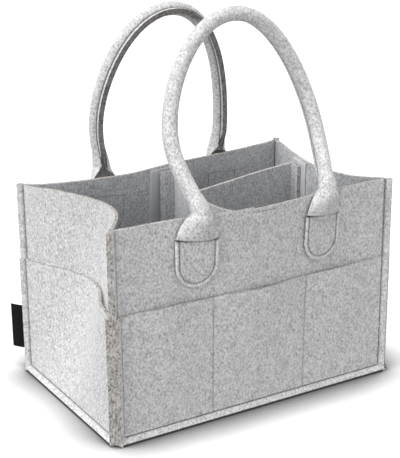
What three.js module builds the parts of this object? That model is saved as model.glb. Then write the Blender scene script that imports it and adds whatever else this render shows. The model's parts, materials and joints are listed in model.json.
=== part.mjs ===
// A soft felt caddy: an open box of sewn felt panels with outer pockets, two rolled handles and
// two lift-out dividers. Millimetres, +Z up, the front faces -Y.
// The origin is on the floor, under the middle of the base.
import * as THREE from "three";

// Body, over the tips of the corner seams
const bodyWidth = 360;
const bodyDepth = 230;
const bodyHeight = 236;

// Felt sheet and its seams, whose raw edges stand outwards at 45 degrees
const felt = 3.5;
const layerGap = 0.3;
const seamAllowance = 7.5;
const seamBend = 12;

// How far the soft walls leave the straight line between their corners, at the top edge
const leftBow = { depth: 37, skew: 0.7, power: 1.7 };
const rightBow = { depth: 34, skew: 0.65, power: 1.1 };
const sideBowLean = 0.7;
const backBow = { depth: 28, skew: 0.8, power: 0.7 };
const frontBulge = 16;
const frontBulgeSpread = 50;

// Base, which sags from its sewn rim down to the floor
const baseSagRun = 34;

// Outer pockets
const pocketHeight = 144;
const pocketStitch = 60;
const pocketGape = 4;
const sidePocketGape = 3;
const sidePocketGapeAt = 34;
const sidePocketGapeSpread = 26;

// Handles: a rolled sleeve with a stitched ridge, over a round core
const legSpacing = 160;
const handleRadius = 8;
const handleCoreRadius = 3.8;
const handleClearance = 0.4;
const hingeAboveWall = 2;
const ridgeDepth = 6.5;
const ridgeLayer = 3;
const ridgeSlit = 0.4;
const ridgeStart = 14;
const ridgeTaper = 30;

// How far the handles' line runs on from its foot, on both sides of its shoulder and from its crown
const neckRise = 18;
const shoulderDrop = 30;
const shoulderRise = 45;
const crownSpread = 57;

// Shoulder and crown of each handle's line, measured from the hinge of a leg: out to the side, in over
// the caddy and up, with the shoulder's slope for each millimetre up
const frontLine = {
  shoulder: { side: 10.5, inward: 32.5, up: 59.5 },
  slope: { side: 0.08, inward: 0.55 },
  crown: { inward: 62.5, up: 192.5 },
};
const backLine = {
  shoulder: { side: 4.5, inward: -2.5, up: 56.5 },
  slope: { side: -0.04, inward: 0.05 },
  crown: { inward: 25.5, up: 182.5 },
};

// Handle tabs, sewn flat on the wall up to a crease, with a puffed bell from there to the handle
const tabWidth = 50;
const tabBottom = 159;
const tabCrease = 212;
const tabSeat = 0.5;
const bellNeckWidth = 26;
const bellGap = 0.5;

// Dividers
const dividerDrop = 7;
const dividerFlange = 20;
const dividerFold = 4;
const crossBackX = 5;
const crossFrontX = -20;
const crossNearPull = -35;
const crossNearPullY = 15;
const crossFarPull = -38;
const crossFarPullY = 4;
const crossJoint = 0.375;
const longRightY = 26;
const longSag = 4;

// Touch-fastener tape
const tape = 1.2;
const tapeWidth = 37;
const hookTapeWidth = 15;
const tapeBottom = 40;
const tapeBelowTop = 8;
const wallTapeBelowTop = 2;
const tapeReveal = 11;

// Folded tag in the back left seam
const tagReach = 18;
const tagHeight = 54;
const tagBottom = 27;
const tagThickness = 1.6;
const tagCurl = 3;

// Steps of the faceted surfaces, and of a handle's round ends as shares of its radius
const bendSteps = 2;
const archSteps = 28;
const sectionSteps = 10;
const endSteps = [0.97, 0.8, 0.45];

// Sizes that follow from the ones above
const layerPitch = felt + layerGap;
const flangeRun = seamAllowance * Math.SQRT1_2;
const bendRun = seamBend * Math.SQRT1_2;
const seamRun = flangeRun + bendRun;
const seamDepth = flangeRun + seamBend - bendRun;
const layerShift = layerPitch * Math.SQRT1_2;
const rimHeight = layerShift / 2 + felt / 2 / Math.sqrt(1.5);
const rimTop = rimHeight + seamDepth - layerShift + felt / 2;
const wallFoot = rimHeight + seamRun;

const feltGrey = { color: 0xb9b8b6, roughness: 0.95, metalness: 0 };
const materials = {
  panel: feltGrey,
  pocket: { ...feltGrey, color: 0xbdbcba },
  handle: { ...feltGrey, color: 0xb4b3b1 },
  divider: { ...feltGrey, color: 0xa9a8a6 },
  core: { color: 0xe4e2dc, roughness: 0.9, metalness: 0 },
  tape: { color: 0x8f8f90, roughness: 0.85, metalness: 0 },
  tag: { color: 0x1b1b1d, roughness: 0.7, metalness: 0 },
};

const caddy = new THREE.Group();

function addPart(name, geometry, material) {
  const mesh = new THREE.Mesh(geometry, new THREE.MeshStandardMaterial(material));
  mesh.name = name;
  caddy.add(mesh);
}

// Shapes shared by the pieces

const clamp01 = (value) => Math.min(1, Math.max(0, value));
const smooth = (value) => clamp01(value) ** 2 * (3 - 2 * clamp01(value));
const lerp = THREE.MathUtils.lerp;

function range(from, to, steps) {
  return Array.from({ length: steps + 1 }, (_, i) => lerp(from, to, i / steps));
}

// Joins runs of stops into one rising list without repeats.
function stops(...runs) {
  return runs.flat().filter((value, i, all) => i === 0 || value > all[i - 1] + 1e-6);
}

// A closed triangle mesh, turned so that its faces point out.
function closedGeometry(points, triangles) {
  const volume = triangles.reduce((sum, [a, b, c]) => {
    const cross = new THREE.Vector3().crossVectors(points[b], points[c]);
    return sum + points[a].dot(cross);
  }, 0);
  const outwards = volume > 0 ? triangles : triangles.map(([a, b, c]) => [a, c, b]);
  const geometry = new THREE.BufferGeometry().setFromPoints(points);
  geometry.setIndex(outwards.flat());
  geometry.computeVertexNormals();
  return geometry;
}

// The solid between two grids of points that match one to one.
function solidBetween(back, front) {
  const rows = back.length;
  const columns = back[0].length;
  const at = (side, i, j) => (side * rows + i) * columns + j;
  const triangles = [];
  const quad = (a, b, c, d) => triangles.push([a, b, c], [a, c, d]);
  for (let i = 0; i < rows - 1; i += 1) {
    for (let j = 0; j < columns - 1; j += 1) {
      quad(at(1, i, j), at(1, i, j + 1), at(1, i + 1, j + 1), at(1, i + 1, j));
      quad(at(0, i, j), at(0, i + 1, j), at(0, i + 1, j + 1), at(0, i, j + 1));
    }
  }
  for (let j = 0; j < columns - 1; j += 1) {
    quad(at(0, 0, j), at(0, 0, j + 1), at(1, 0, j + 1), at(1, 0, j));
    quad(at(1, rows - 1, j), at(1, rows - 1, j + 1), at(0, rows - 1, j + 1), at(0, rows - 1, j));
  }
  for (let i = 0; i < rows - 1; i += 1) {
    quad(at(1, i, 0), at(1, i + 1, 0), at(0, i + 1, 0), at(0, i, 0));
    quad(at(0, i, columns - 1), at(0, i + 1, columns - 1), at(1, i + 1, columns - 1), at(1, i, columns - 1));
  }
  return closedGeometry([...back.flat(), ...front.flat()], triangles);
}

// The solid through rings of points, closed at both ends by the section's own triangles.
function solidThrough(rings, section) {
  const count = section.length;
  const caps = THREE.ShapeUtils.triangulateShape(section, []);
  const last = (rings.length - 1) * count;
  const triangles = [];
  for (let i = 0; i < rings.length - 1; i += 1) {
    for (let j = 0; j < count; j += 1) {
      const a = i * count + j;
      const b = i * count + ((j + 1) % count);
      triangles.push([a, b, b + count], [a, b + count, a + count]);
    }
  }
  for (const [a, b, c] of caps) {
    triangles.push([a, c, b], [a + last, b + last, c + last]);
  }
  return closedGeometry(rings.flat(), triangles);
}

// A felt strip that stands on edge along a plan path, from one height to another.
function standingStrip(path, thickness, bottom, top) {
  const side = (offset) => [bottom, top].map((z) => path.map((point, i) => {
    const before = path[Math.max(i - 1, 0)];
    const after = path[Math.min(i + 1, path.length - 1)];
    const into = point.clone().sub(before).normalize();
    const out = after.clone().sub(point).normalize();
    const along = into.clone().add(out).normalize();
    const mitre = i > 0 && i < path.length - 1 ? along.dot(out) : 1;
    const shift = offset / mitre;
    return new THREE.Vector3(point.x + along.y * shift, point.y - along.x * shift, z);
  }));
  return solidBetween(side(-thickness / 2), side(thickness / 2));
}

// Moves a plan path sideways, to the right of its direction.
function beside(path, offset) {
  return path.map((point, i) => {
    const before = path[Math.max(i - 1, 0)];
    const after = path[Math.min(i + 1, path.length - 1)];
    const along = after.clone().sub(before).normalize();
    return new THREE.Vector2(point.x + along.y * offset, point.y - along.x * offset);
  });
}

// Walls

// How far a sheet has come in, a given way along from the raw edge of a seam: at 45 degrees over the
// flange, then round a bend until it runs parallel.
function seamInset(way) {
  if (way <= flangeRun) {
    return way;
  }
  const left = Math.max(seamRun - way, 0);
  return flangeRun + Math.sqrt(seamBend ** 2 - left ** 2) - bendRun;
}

// A wall's middle surface. It is measured along the wall and up, and stands out from the body's middle.
class Wall {
  constructor(length, reach, middleStops, bow, place) {
    this.length = length;
    this.reach = reach;
    this.bow = bow;
    this.place = place;
    const tip = length / 2 - layerShift / 2;
    const flange = length / 2 - flangeRun;
    const bend = length / 2 - seamRun;
    this.across = stops(
      [-tip],
      range(-flange, -bend, bendSteps),
      middleStops(bend),
      range(bend, flange, bendSteps),
      [tip],
    );
    this.up = stops(
      [rimHeight + layerShift / 2],
      range(rimHeight + flangeRun, wallFoot, bendSteps),
      range(wallFoot, pocketHeight, 3),
      range(pocketHeight, bodyHeight, 3),
    );
  }

  // Share of the way between the two corner seams.
  share(a) {
    return clamp01((a + this.length / 2 - flangeRun) / (this.length - 2 * flangeRun));
  }

  // The bow adds to the seams' inset, but no wall crosses the 45 degree plane of a corner seam.
  out(a, z) {
    const corner = this.length / 2 - Math.abs(a);
    const inset = seamInset(Math.min(corner, z - rimHeight));
    const rise = clamp01((z - wallFoot) / (bodyHeight - wallFoot));
    const bowed = inset + this.bow(this.share(a), rise, a);
    return this.reach + layerShift - Math.min(bowed, corner);
  }

  point(a, z, offset) {
    const step = 0.5;
    const slopeAcross = (this.out(a + step, z) - this.out(a - step, z)) / (2 * step);
    const slopeUp = (this.out(a, z + step) - this.out(a, z - step)) / (2 * step);
    const size = offset / Math.hypot(1, slopeAcross, slopeUp);
    return this.place(a - slopeAcross * size, this.out(a, z) + size, z - slopeUp * size);
  }

  // A point on the flat facets between the wall's own stops, moved out from the middle surface.
  facetPoint(a, z, offset) {
    const column = this.cell(this.across, a);
    const row = this.cell(this.up, z);
    const corner = (i, j) => this.point(this.across[column.i + i], this.up[row.i + j], offset);
    const low = corner(0, 0).lerp(corner(1, 0), column.part);
    const high = corner(0, 1).lerp(corner(1, 1), column.part);
    return low.lerp(high, row.part);
  }

  cell(list, value) {
    const above = list.findIndex((stop) => stop >= value);
    const i = Math.max(above < 0 ? list.length - 2 : above - 1, 0);
    return { i, part: (value - list[i]) / (list[i + 1] - list[i]) };
  }

  sheet(ups, nearOffset, farOffset) {
    const grid = (offset) => ups.map((z) => this.across.map((a) => this.point(a, z, offset(a, z))));
    return solidBetween(grid(nearOffset), grid(farOffset));
  }

  // The innermost place that the wall's middle surface reaches between two places along it.
  innermost(from, to) {
    const heights = this.up.filter((z) => z >= wallFoot - 1e-6);
    return Math.min(...range(from, to, 8).flatMap((a) => heights.map((z) => this.out(a, z))));
  }
}

const sideStops = (bend) => range(-bend, bend, 10);
const frontStops = (bend) => [
  ...range(-bend, -pocketStitch, 4),
  ...range(-pocketStitch, pocketStitch, 5),
  ...range(pocketStitch, bend, 4),
];
const bowAlong = ({ depth, skew, power }, share, lean) => (
  depth * Math.max(Math.sin(Math.PI * share ** (skew + lean)), 0) ** power
);

// A side wall sags in most near its front at the top, and near its middle lower down.
const sideBowAt = (bow) => (share, rise) => (
  bowAlong(bow, share, sideBowLean * (1 - rise)) * (1 - (1 - rise) ** 2)
);
const backBowAt = (share, rise) => bowAlong(backBow, share, 0) * rise;
const frontBowAt = (share, rise, a) => (
  -frontBulge * Math.exp(-0.5 * (a / frontBulgeSpread) ** 2) * rise ** 2
);

const walls = {
  front: new Wall(bodyWidth, bodyDepth / 2, frontStops, frontBowAt,
    (a, out, z) => new THREE.Vector3(a, -out, z)),
  back: new Wall(bodyWidth, bodyDepth / 2, frontStops, backBowAt,
    (a, out, z) => new THREE.Vector3(a, out, z)),
  left: new Wall(bodyDepth, bodyWidth / 2, sideStops, sideBowAt(leftBow),
    (a, out, z) => new THREE.Vector3(-out, a, z)),
  right: new Wall(bodyDepth, bodyWidth / 2, sideStops, sideBowAt(rightBow),
    (a, out, z) => new THREE.Vector3(out, a, z)),
};

for (const [side, wall] of Object.entries(walls)) {
  const panel = wall.sheet(wall.up, () => -felt / 2, () => felt / 2);
  addPart(`${side}_panel`, panel, materials.panel);
}

// Pockets: a second felt sheet outside each wall, that stands off a little at its mouth

// Front and back pockets swell between the corner seams and the two stitch lines.
function threePocketGape(a) {
  const edge = bodyWidth / 2 - seamRun;
  const bounds = [-edge, -pocketStitch, pocketStitch, edge];
  const part = bounds.findIndex((bound, i) => i < 3 && a >= bound && a < bounds[i + 1]);
  if (part < 0) {
    return 0;
  }
  const share = (a - bounds[part]) / (bounds[part + 1] - bounds[part]);
  return pocketGape * Math.sin(Math.PI * share) ** 2;
}

// Side pockets take a slightly straighter line than their bowed wall, so they gape near the front.
function sidePocketGapeAtPlace(a) {
  const fromFront = a + bodyDepth / 2 - seamRun;
  const fromBack = bodyDepth / 2 - seamRun - a;
  const away = (fromFront - sidePocketGapeAt) / sidePocketGapeSpread;
  const clearOfSeams = smooth(fromFront / sidePocketGapeSpread) * smooth(fromBack / sidePocketGapeSpread);
  return sidePocketGape * Math.exp(-0.5 * away ** 2) * clearOfSeams;
}

for (const [side, wall] of Object.entries(walls)) {
  const gapeAlong = wall.length === bodyWidth ? threePocketGape : sidePocketGapeAtPlace;
  const gape = (a, z) => gapeAlong(a) * clamp01((z - wallFoot) / (pocketHeight - wallFoot));
  const near = (a, z) => felt / 2 + layerGap + gape(a, z);
  const ups = wall.up.filter((z) => z <= pocketHeight + 1e-6);
  const pocket = wall.sheet(ups, near, (a, z) => near(a, z) + felt);
  addPart(`${side}_pocket`, pocket, materials.pocket);
}

// Base: its rim lies under the walls' lower flanges, and its middle rests on the floor

function baseHeight(x, y) {
  const way = Math.min(bodyWidth / 2 - Math.abs(x), bodyDepth / 2 - Math.abs(y));
  const rim = rimHeight + seamInset(way) - layerShift;
  return lerp(rim, felt / 2, smooth((way - seamRun) / baseSagRun));
}

function basePoint(x, y, offset) {
  const step = 0.5;
  const slopeX = (baseHeight(x + step, y) - baseHeight(x - step, y)) / (2 * step);
  const slopeY = (baseHeight(x, y + step) - baseHeight(x, y - step)) / (2 * step);
  const size = offset / Math.hypot(1, slopeX, slopeY);
  return new THREE.Vector3(x - slopeX * size, y - slopeY * size, baseHeight(x, y) + size);
}

function baseStops(length) {
  const half = stops(
    [layerShift / 2],
    range(flangeRun, seamRun, bendSteps),
    range(seamRun, seamRun + baseSagRun, 4),
  ).map((way) => length / 2 - way);
  return [...half.map((place) => -place), ...half.reverse()];
}

const baseGrid = (offset) => (
  baseStops(bodyDepth).map((y) => baseStops(bodyWidth).map((x) => basePoint(x, y, offset)))
);
addPart("base_panel", solidBetween(baseGrid(-felt / 2), baseGrid(felt / 2)), materials.panel);

// Handles

// Section of the rolled sleeve: a ring of felt whose two edges stand together as a ridge, with a slit
// between them that leaves the bore open.
function sleeveSection(ridge) {
  const outer = handleRadius;
  const inner = handleRadius - felt;
  const half = ridgeSlit / 2;
  const edge = half + ridgeLayer;
  const arc = (radius, offset) => {
    const start = Math.asin(offset / radius);
    return range(start, 2 * Math.PI - start, sectionSteps).map((angle) => (
      new THREE.Vector2(radius * Math.cos(angle), radius * Math.sin(angle))
    ));
  };
  const tip = Math.sqrt(outer ** 2 - edge ** 2) + ridge;
  return [
    new THREE.Vector2(tip, edge),
    ...arc(outer, edge),
    new THREE.Vector2(tip, -edge),
    new THREE.Vector2(tip, -half),
    ...arc(inner, half).reverse(),
    new THREE.Vector2(tip, half),
  ];
}

const coreSection = range(0, 2 * Math.PI, sectionSteps).slice(1).map((angle) => (
  new THREE.Vector2(handleCoreRadius * Math.cos(angle), handleCoreRadius * Math.sin(angle))
));

// The same curve, run the other way.
function turnedRound(curve) {
  return new THREE.CubicBezierCurve3(curve.v3, curve.v2, curve.v1, curve.v0);
}

// A handle's line runs up one leg from the hinge on its wall, over the crown and down the other leg.
class Handle {
  constructor(wall, line) {
    const top = wall.point(legSpacing / 2, bodyHeight, felt / 2);
    this.facing = Math.sign(top.y);
    this.hinge = {
      y: top.y + this.facing * (handleClearance + handleRadius),
      z: bodyHeight + hingeAboveWall,
    };
    this.inward = new THREE.Vector3(0, -this.facing * line.crown.up, -line.crown.inward).normalize();
    this.line = new THREE.CurvePath();
    this.line.curves = [...this.leg(-1, line), ...this.leg(1, line).reverse().map(turnedRound)];
    this.length = this.line.getLength();
  }

  // A place above the hinge line: sideways from the middle, in over the caddy and up.
  place(x, inward, up) {
    return new THREE.Vector3(x, this.hinge.y - this.facing * inward, this.hinge.z + up);
  }

  // One leg: straight up out of its bell, over to the shoulder and on to the crown.
  leg(side, { shoulder, slope, crown }) {
    const foot = legSpacing / 2;
    const pastShoulder = (way) => this.place(
      side * (foot + shoulder.side + slope.side * way),
      shoulder.inward + slope.inward * way,
      shoulder.up + way,
    );
    const neck = new THREE.CubicBezierCurve3(
      this.place(side * foot, 0, 0),
      this.place(side * foot, 0, neckRise),
      pastShoulder(-shoulderDrop),
      pastShoulder(0),
    );
    const arm = new THREE.CubicBezierCurve3(
      pastShoulder(0),
      pastShoulder(shoulderRise),
      this.place(side * crownSpread, crown.inward, crown.up),
      this.place(0, crown.inward, crown.up),
    );
    return [neck, arm];
  }

  // The ring of a section at a place along the line.
  ring(way, section, scale, setBack) {
    const share = clamp01(way / this.length);
    const along = this.line.getTangent(share);
    const middle = this.line.getPoint(share).addScaledVector(along, setBack);
    const inward = this.inward.clone().projectOnPlane(along).normalize();
    const across = new THREE.Vector3().crossVectors(along, inward);
    return section.map((spot) => middle.clone()
      .addScaledVector(across, spot.y * scale)
      .addScaledVector(inward, spot.x * scale));
  }

  // The ridge starts a little above the hinge at both ends and rises to its full depth.
  ridge(way) {
    const fromEnd = Math.min(way, this.length - way);
    return ridgeDepth * smooth((fromEnd - ridgeStart) / ridgeTaper);
  }

  sleeve() {
    const ends = endSteps.map((share) => ({
      scale: Math.sqrt(1 - share ** 2),
      setBack: share * handleRadius,
    }));
    const flat = sleeveSection(0);
    const rings = [
      ...ends.map((end) => this.ring(0, flat, end.scale, -end.setBack)),
      ...range(0, this.length, archSteps).map((way) => this.ring(way, sleeveSection(this.ridge(way)), 1, 0)),
      ...ends.reverse().map((end) => this.ring(this.length, flat, end.scale, end.setBack)),
    ];
    return solidThrough(rings, flat);
  }

  core() {
    const rings = range(0, this.length, archSteps).map((way) => this.ring(way, coreSection, 1, 0));
    return solidThrough(rings, coreSection);
  }
}

const handles = {
  front: new Handle(walls.front, frontLine),
  back: new Handle(walls.back, backLine),
};

for (const [side, handle] of Object.entries(handles)) {
  addPart(`${side}_handle_sleeve`, handle.sleeve(), materials.handle);
  addPart(`${side}_handle_core`, handle.core(), materials.core);
}

// Handle tabs

const tabHalf = tabWidth / 2;
const bellTop = bodyHeight + hingeAboveWall - handleRadius - bellGap;

function tabHalfWidth(z) {
  if (z <= tabCrease) {
    const below = Math.max(tabBottom + tabHalf - z, 0);
    return Math.sqrt(tabHalf ** 2 - below ** 2);
  }
  const neck = bellNeckWidth / 2;
  return neck + (tabHalf - neck) * Math.sqrt(1 - ((z - tabCrease) / (bellTop - tabCrease)) ** 2);
}

// Thickness of the tab at a share of its half width: plain felt below the crease, a puffed bell above.
function tabDepth(share, z) {
  const swell = Math.sin((Math.PI / 2) * clamp01((z - tabCrease) / (bellTop - tabCrease)));
  return felt + (2 * handleRadius - felt) * swell * Math.sqrt(1 - (0.98 * share) ** 2);
}

function tab(wall, middle) {
  const shares = range(-1, 1, 6);
  const round = range(Math.PI / 15, Math.PI / 2, 5).map((angle) => (
    tabBottom + tabHalf * (1 - Math.cos(angle))
  ));
  const heights = stops(round, [tabCrease], range(tabCrease, bellTop, 5));
  const outward = wall.place(0, 1, 0);
  const grid = (depth) => heights.map((z) => shares.map((share) => (
    wall.facetPoint(middle + share * tabHalfWidth(z), z, felt / 2 + tabSeat)
      .addScaledVector(outward, depth(share, z))
  )));
  return solidBetween(grid(() => 0), grid(tabDepth));
}

for (const side of ["front", "back"]) {
  addPart(`${side}_left_tab`, tab(walls[side], -legSpacing / 2), materials.handle);
  addPart(`${side}_right_tab`, tab(walls[side], legSpacing / 2), materials.handle);
}

// Dividers: felt strips that stand between the walls, inside the narrowest part of the opening, so
// that they lift straight out

const dividerTop = bodyHeight - dividerDrop;
const dividerBottom = rimTop + layerGap;
const tapeStack = 3 * layerGap + 2 * tape;
const flangeInset = felt / 2 + tapeStack + felt / 2;
const crossBackY = walls.back.innermost(crossBackX - dividerFlange - tapeReveal, crossBackX) - flangeInset;
const crossFrontY = flangeInset - walls.front.innermost(crossFrontX, crossFrontX + dividerFlange);
const crossMiddleY = (crossBackY + crossFrontY) / 2;

// Runs from a corner point a given way towards another point.
function towards(from, to, way) {
  return from.clone().add(to.clone().sub(from).setLength(way));
}

const crossFold = new THREE.Vector2(crossBackX, crossBackY);
const crossNear = new THREE.Vector2(crossNearPull, crossMiddleY + crossNearPullY);
const crossFar = new THREE.Vector2(crossFarPull, crossFrontY + crossFarPullY);
const crossCurve = new THREE.CubicBezierCurve(
  towards(crossFold, crossNear, dividerFold),
  crossNear,
  crossFar,
  new THREE.Vector2(crossFrontX, crossFrontY),
);

const crossBackFlange = [
  new THREE.Vector2(crossBackX - dividerFlange, crossBackY),
  new THREE.Vector2(crossBackX - dividerFold, crossBackY),
];
const crossFrontFlange = [
  new THREE.Vector2(crossFrontX, crossFrontY),
  new THREE.Vector2(crossFrontX + dividerFlange, crossFrontY),
];
const crossTurn = new THREE.QuadraticBezierCurve(crossBackFlange[1], crossFold, crossCurve.v0);
const crossPath = [
  crossBackFlange[0],
  ...crossTurn.getPoints(5),
  ...crossCurve.getPoints(16).slice(1),
  crossFrontFlange[1],
];
addPart("cross_divider", standingStrip(crossPath, felt, dividerBottom, dividerTop), materials.divider);

// The long divider starts with a flange on the cross divider and ends with one on the right wall.
const jointSteps = range(crossJoint - 0.1, crossJoint, 3);
const jointRun = jointSteps.map((share) => crossCurve.getPoint(share));
const jointFlange = beside(jointRun, -(felt + tapeStack));
const rightFlange = (a) => new THREE.Vector2(
  walls.right.innermost(a, a) - flangeInset,
  a,
);
const longEnd = rightFlange(longRightY);
const rightFlangeEnd = rightFlange(longRightY - dividerFlange);
const longStart = towards(jointFlange[3], longEnd, dividerFold);
const longMiddle = longStart.clone().lerp(longEnd, 0.5).add(new THREE.Vector2(0, longSag));
const longFoldIn = towards(longEnd, longMiddle, dividerFold);
const longFoldOut = towards(longEnd, rightFlangeEnd, dividerFold);
const longPath = [
  jointFlange[0],
  jointFlange[1],
  jointFlange[2],
  ...new THREE.QuadraticBezierCurve(jointFlange[2], jointFlange[3], longStart).getPoints(4).slice(1),
  ...new THREE.QuadraticBezierCurve(longStart, longMiddle, longFoldIn).getPoints(8).slice(1),
  ...new THREE.QuadraticBezierCurve(longFoldIn, longEnd, longFoldOut).getPoints(4).slice(1),
  rightFlangeEnd,
];
addPart("long_divider", standingStrip(longPath, felt, dividerBottom, dividerTop), materials.divider);

// Fastener tapes

const tapeTop = bodyHeight - wallTapeBelowTop;
const hookTop = dividerTop - tapeBelowTop;

// Loop tape on the inside of a wall.
function wallTape(wall, from, to) {
  const near = -felt / 2 - layerGap;
  const heights = stops([tapeBottom], wall.up.filter((z) => z > tapeBottom && z < tapeTop), [tapeTop]);
  const places = stops([from], wall.across.filter((a) => a > from && a < to), [to]);
  const grid = (offset) => heights.map((z) => places.map((a) => wall.facetPoint(a, z, offset)));
  return solidBetween(grid(near - tape), grid(near));
}

// Hook tape on a divider's flange, on the given side of a straight plan line.
function flangeTape(from, to, offset) {
  const margin = (from.distanceTo(to) - hookTapeWidth) / 2;
  const line = [towards(from, to, margin), towards(to, from, margin)];
  return standingStrip(beside(line, offset), tape, tapeBottom, hookTop);
}

const backTapeFrom = crossBackX - dividerFlange - tapeReveal;
const rightTapeFrom = longRightY - dividerFlange - tapeReveal;
const besideFelt = felt / 2 + layerGap + tape / 2;
addPart("back_loop_tape", wallTape(walls.back, backTapeFrom, backTapeFrom + tapeWidth), materials.tape);
addPart("right_loop_tape", wallTape(walls.right, rightTapeFrom, rightTapeFrom + tapeWidth), materials.tape);
addPart("front_loop_tape", wallTape(walls.front, crossFrontX, crossFrontX + tapeWidth), materials.tape);
addPart("cross_back_hook_tape", flangeTape(...crossBackFlange, -besideFelt), materials.tape);
addPart("cross_front_hook_tape", flangeTape(...crossFrontFlange, besideFelt), materials.tape);
addPart("long_right_hook_tape", flangeTape(longFoldOut, rightFlangeEnd, -besideFelt), materials.tape);

// Where the dividers meet, the tapes lie along the cross divider.
const jointLoopLine = beside(jointRun, -besideFelt);
const jointHookLine = beside(jointRun.slice(0, 3), -(besideFelt + tape + layerGap));
addPart("cross_joint_loop_tape", standingStrip(jointLoopLine, tape, tapeBottom, hookTop), materials.tape);
addPart("long_joint_hook_tape", standingStrip(jointHookLine, tape, tapeBottom, hookTop), materials.tape);

// Tag

function sideTag() {
  const outward = new THREE.Vector3(-1, 1, 0).normalize();
  const across = new THREE.Vector3(1, 1, 0).normalize();
  const corner = new THREE.Vector3(-bodyWidth / 2, bodyDepth / 2, 0);
  const grid = (offset) => range(tagBottom, tagBottom + tagHeight, 4).map((z) => (
    range(0, 1, 4).map((share) => corner.clone()
      .addScaledVector(outward, layerGap + share * tagReach)
      .addScaledVector(across, offset + tagCurl * share ** 2)
      .setZ(z))
  ));
  return solidBetween(grid(-tagThickness / 2), grid(tagThickness / 2));
}

addPart("side_tag", sideTag(), materials.tag);

export default caddy;
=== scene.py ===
"""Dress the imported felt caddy: felt sheets, rolled handles, sewing thread, fastener tapes and a
tag.

Sizes are in millimetres in the caddy's own frame: X along the front, Y to the back, Z up from the
floor under the middle of the base. They become metres where a mesh is made.
"""

import json
import logging
import math
from abc import ABC, abstractmethod
from collections.abc import Callable, Sequence
from dataclasses import dataclass, field
from enum import Enum

import bpy
import numpy as np
from mathutils import Matrix, Vector


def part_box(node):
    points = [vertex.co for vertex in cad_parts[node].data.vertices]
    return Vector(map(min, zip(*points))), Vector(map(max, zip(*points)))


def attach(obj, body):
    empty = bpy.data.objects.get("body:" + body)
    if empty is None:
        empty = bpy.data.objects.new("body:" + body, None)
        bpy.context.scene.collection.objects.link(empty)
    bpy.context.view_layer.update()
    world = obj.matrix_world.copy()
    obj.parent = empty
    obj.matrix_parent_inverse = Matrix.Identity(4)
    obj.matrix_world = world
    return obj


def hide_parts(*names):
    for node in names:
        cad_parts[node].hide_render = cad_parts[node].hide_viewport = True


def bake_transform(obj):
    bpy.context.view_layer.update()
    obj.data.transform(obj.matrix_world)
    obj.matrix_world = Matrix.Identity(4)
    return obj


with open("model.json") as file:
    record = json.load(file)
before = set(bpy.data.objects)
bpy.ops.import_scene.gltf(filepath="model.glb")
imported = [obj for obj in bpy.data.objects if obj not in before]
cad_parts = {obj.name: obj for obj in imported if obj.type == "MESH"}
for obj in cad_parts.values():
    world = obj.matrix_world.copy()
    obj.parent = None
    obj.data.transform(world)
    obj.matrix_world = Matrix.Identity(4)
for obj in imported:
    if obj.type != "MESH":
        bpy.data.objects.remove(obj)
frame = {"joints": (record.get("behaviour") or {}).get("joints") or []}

Array = np.ndarray
Piece = bpy.types.Object
Row = tuple[Array, Array]
MM = 0.001
FELT = 3.5
LAYER_GAP = 0.3
POCKET_ROWS = (-60.0, 60.0)
WAVE_PERIOD = 0.314
FLECK_TURNS = ((0.5, 0.9, 0.2), (1.2, -0.7, 1.1), (-0.6, 0.4, 2.3))
WHITE = (1.0, 1.0, 1.0, 1.0)
UP = np.array([0.0, 0.0, 1.0])
LOG = logging.getLogger("caddy")


# Numbers and curves

def smooth(share: Array) -> Array:
    """Ease from 0 to 1: three times the square less twice the cube of the share, held at both
    ends."""
    held = np.clip(share, 0.0, 1.0)
    return held * held * (3.0 - 2.0 * held)


def bell(way: Array, spread: float) -> Array:
    """A bump of height 1: e to the power of minus half the square of way over spread."""
    return np.exp(-0.5 * (way / spread) ** 2)


def unit(vectors: Array) -> Array:
    """Vectors of length 1 in the same directions."""
    return vectors / np.linalg.norm(vectors, axis=-1, keepdims=True)


def stops(*runs: tuple[float, float, float]) -> Array:
    """Rising places along one direction of a grid.

    Args:
        runs: the start, the end and the widest spacing of each run.

    Returns:
        The places of all the runs, each only once.
    """
    parts = [np.linspace(start, end, math.ceil((end - start) / pitch) + 1) for start, end,
             pitch in runs]
    places = np.concatenate(parts)
    return places[np.append(True, np.diff(places) > 1e-6)]


def bezier(controls: Sequence[Sequence[float]], shares: Array) -> Array:
    """Points of a Bezier curve: the control points weighted by the Bernstein polynomials.

    Args:
        controls: the control points, in order.
        shares: the places on the curve, from 0 to 1.

    Returns:
        One point for each share.
    """
    degree = len(controls) - 1
    weights = [math.comb(degree, i) * shares**i * (1 - shares) ** (degree - i)
               for i in range(degree + 1)]
    return np.stack(weights, axis=-1) @ np.asarray(controls, dtype=float)


def run_lengths(points: Array) -> Array:
    """Length of the polyline up to each of its points."""
    return np.append(0.0, np.cumsum(np.linalg.norm(np.diff(points, axis=0), axis=1)))


def along_line(points: Array, ways: Array) -> Array:
    """Values at given lengths along a polyline, by straight interpolation between its points."""
    lengths = run_lengths(points)
    return np.stack([np.interp(ways, lengths, column) for column in points.T], axis=-1)


def evenly(points: Array, pitch: float) -> Array:
    """The same polyline with points at even steps of its length."""
    total = run_lengths(points)[-1]
    return along_line(points, np.linspace(0.0, total, math.ceil(total / pitch) + 1))


def grid_normals(points: Array) -> Array:
    """Unit normals of a grid of points: the cross product of the steps along its two directions."""
    return unit(np.cross(np.gradient(points, axis=0), np.gradient(points, axis=1)))


# Meshes

def facing_out(points: Array, faces: Array) -> Array:
    """Faces turned so that the body's volume, summed over tetrahedra from the origin, is positive.

    Args:
        points: the body's points.
        faces: its four-cornered faces, all turned the same way round.

    Returns:
        The faces, or the same faces with their corners in reverse order.
    """
    a, b, c, d = (points[faces[:, corner]] for corner in range(4))
    volume = np.einsum("ij,ij->", a, np.cross(b, c) + np.cross(c, d))
    return faces if volume > 0 else faces[:, ::-1]


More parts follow.
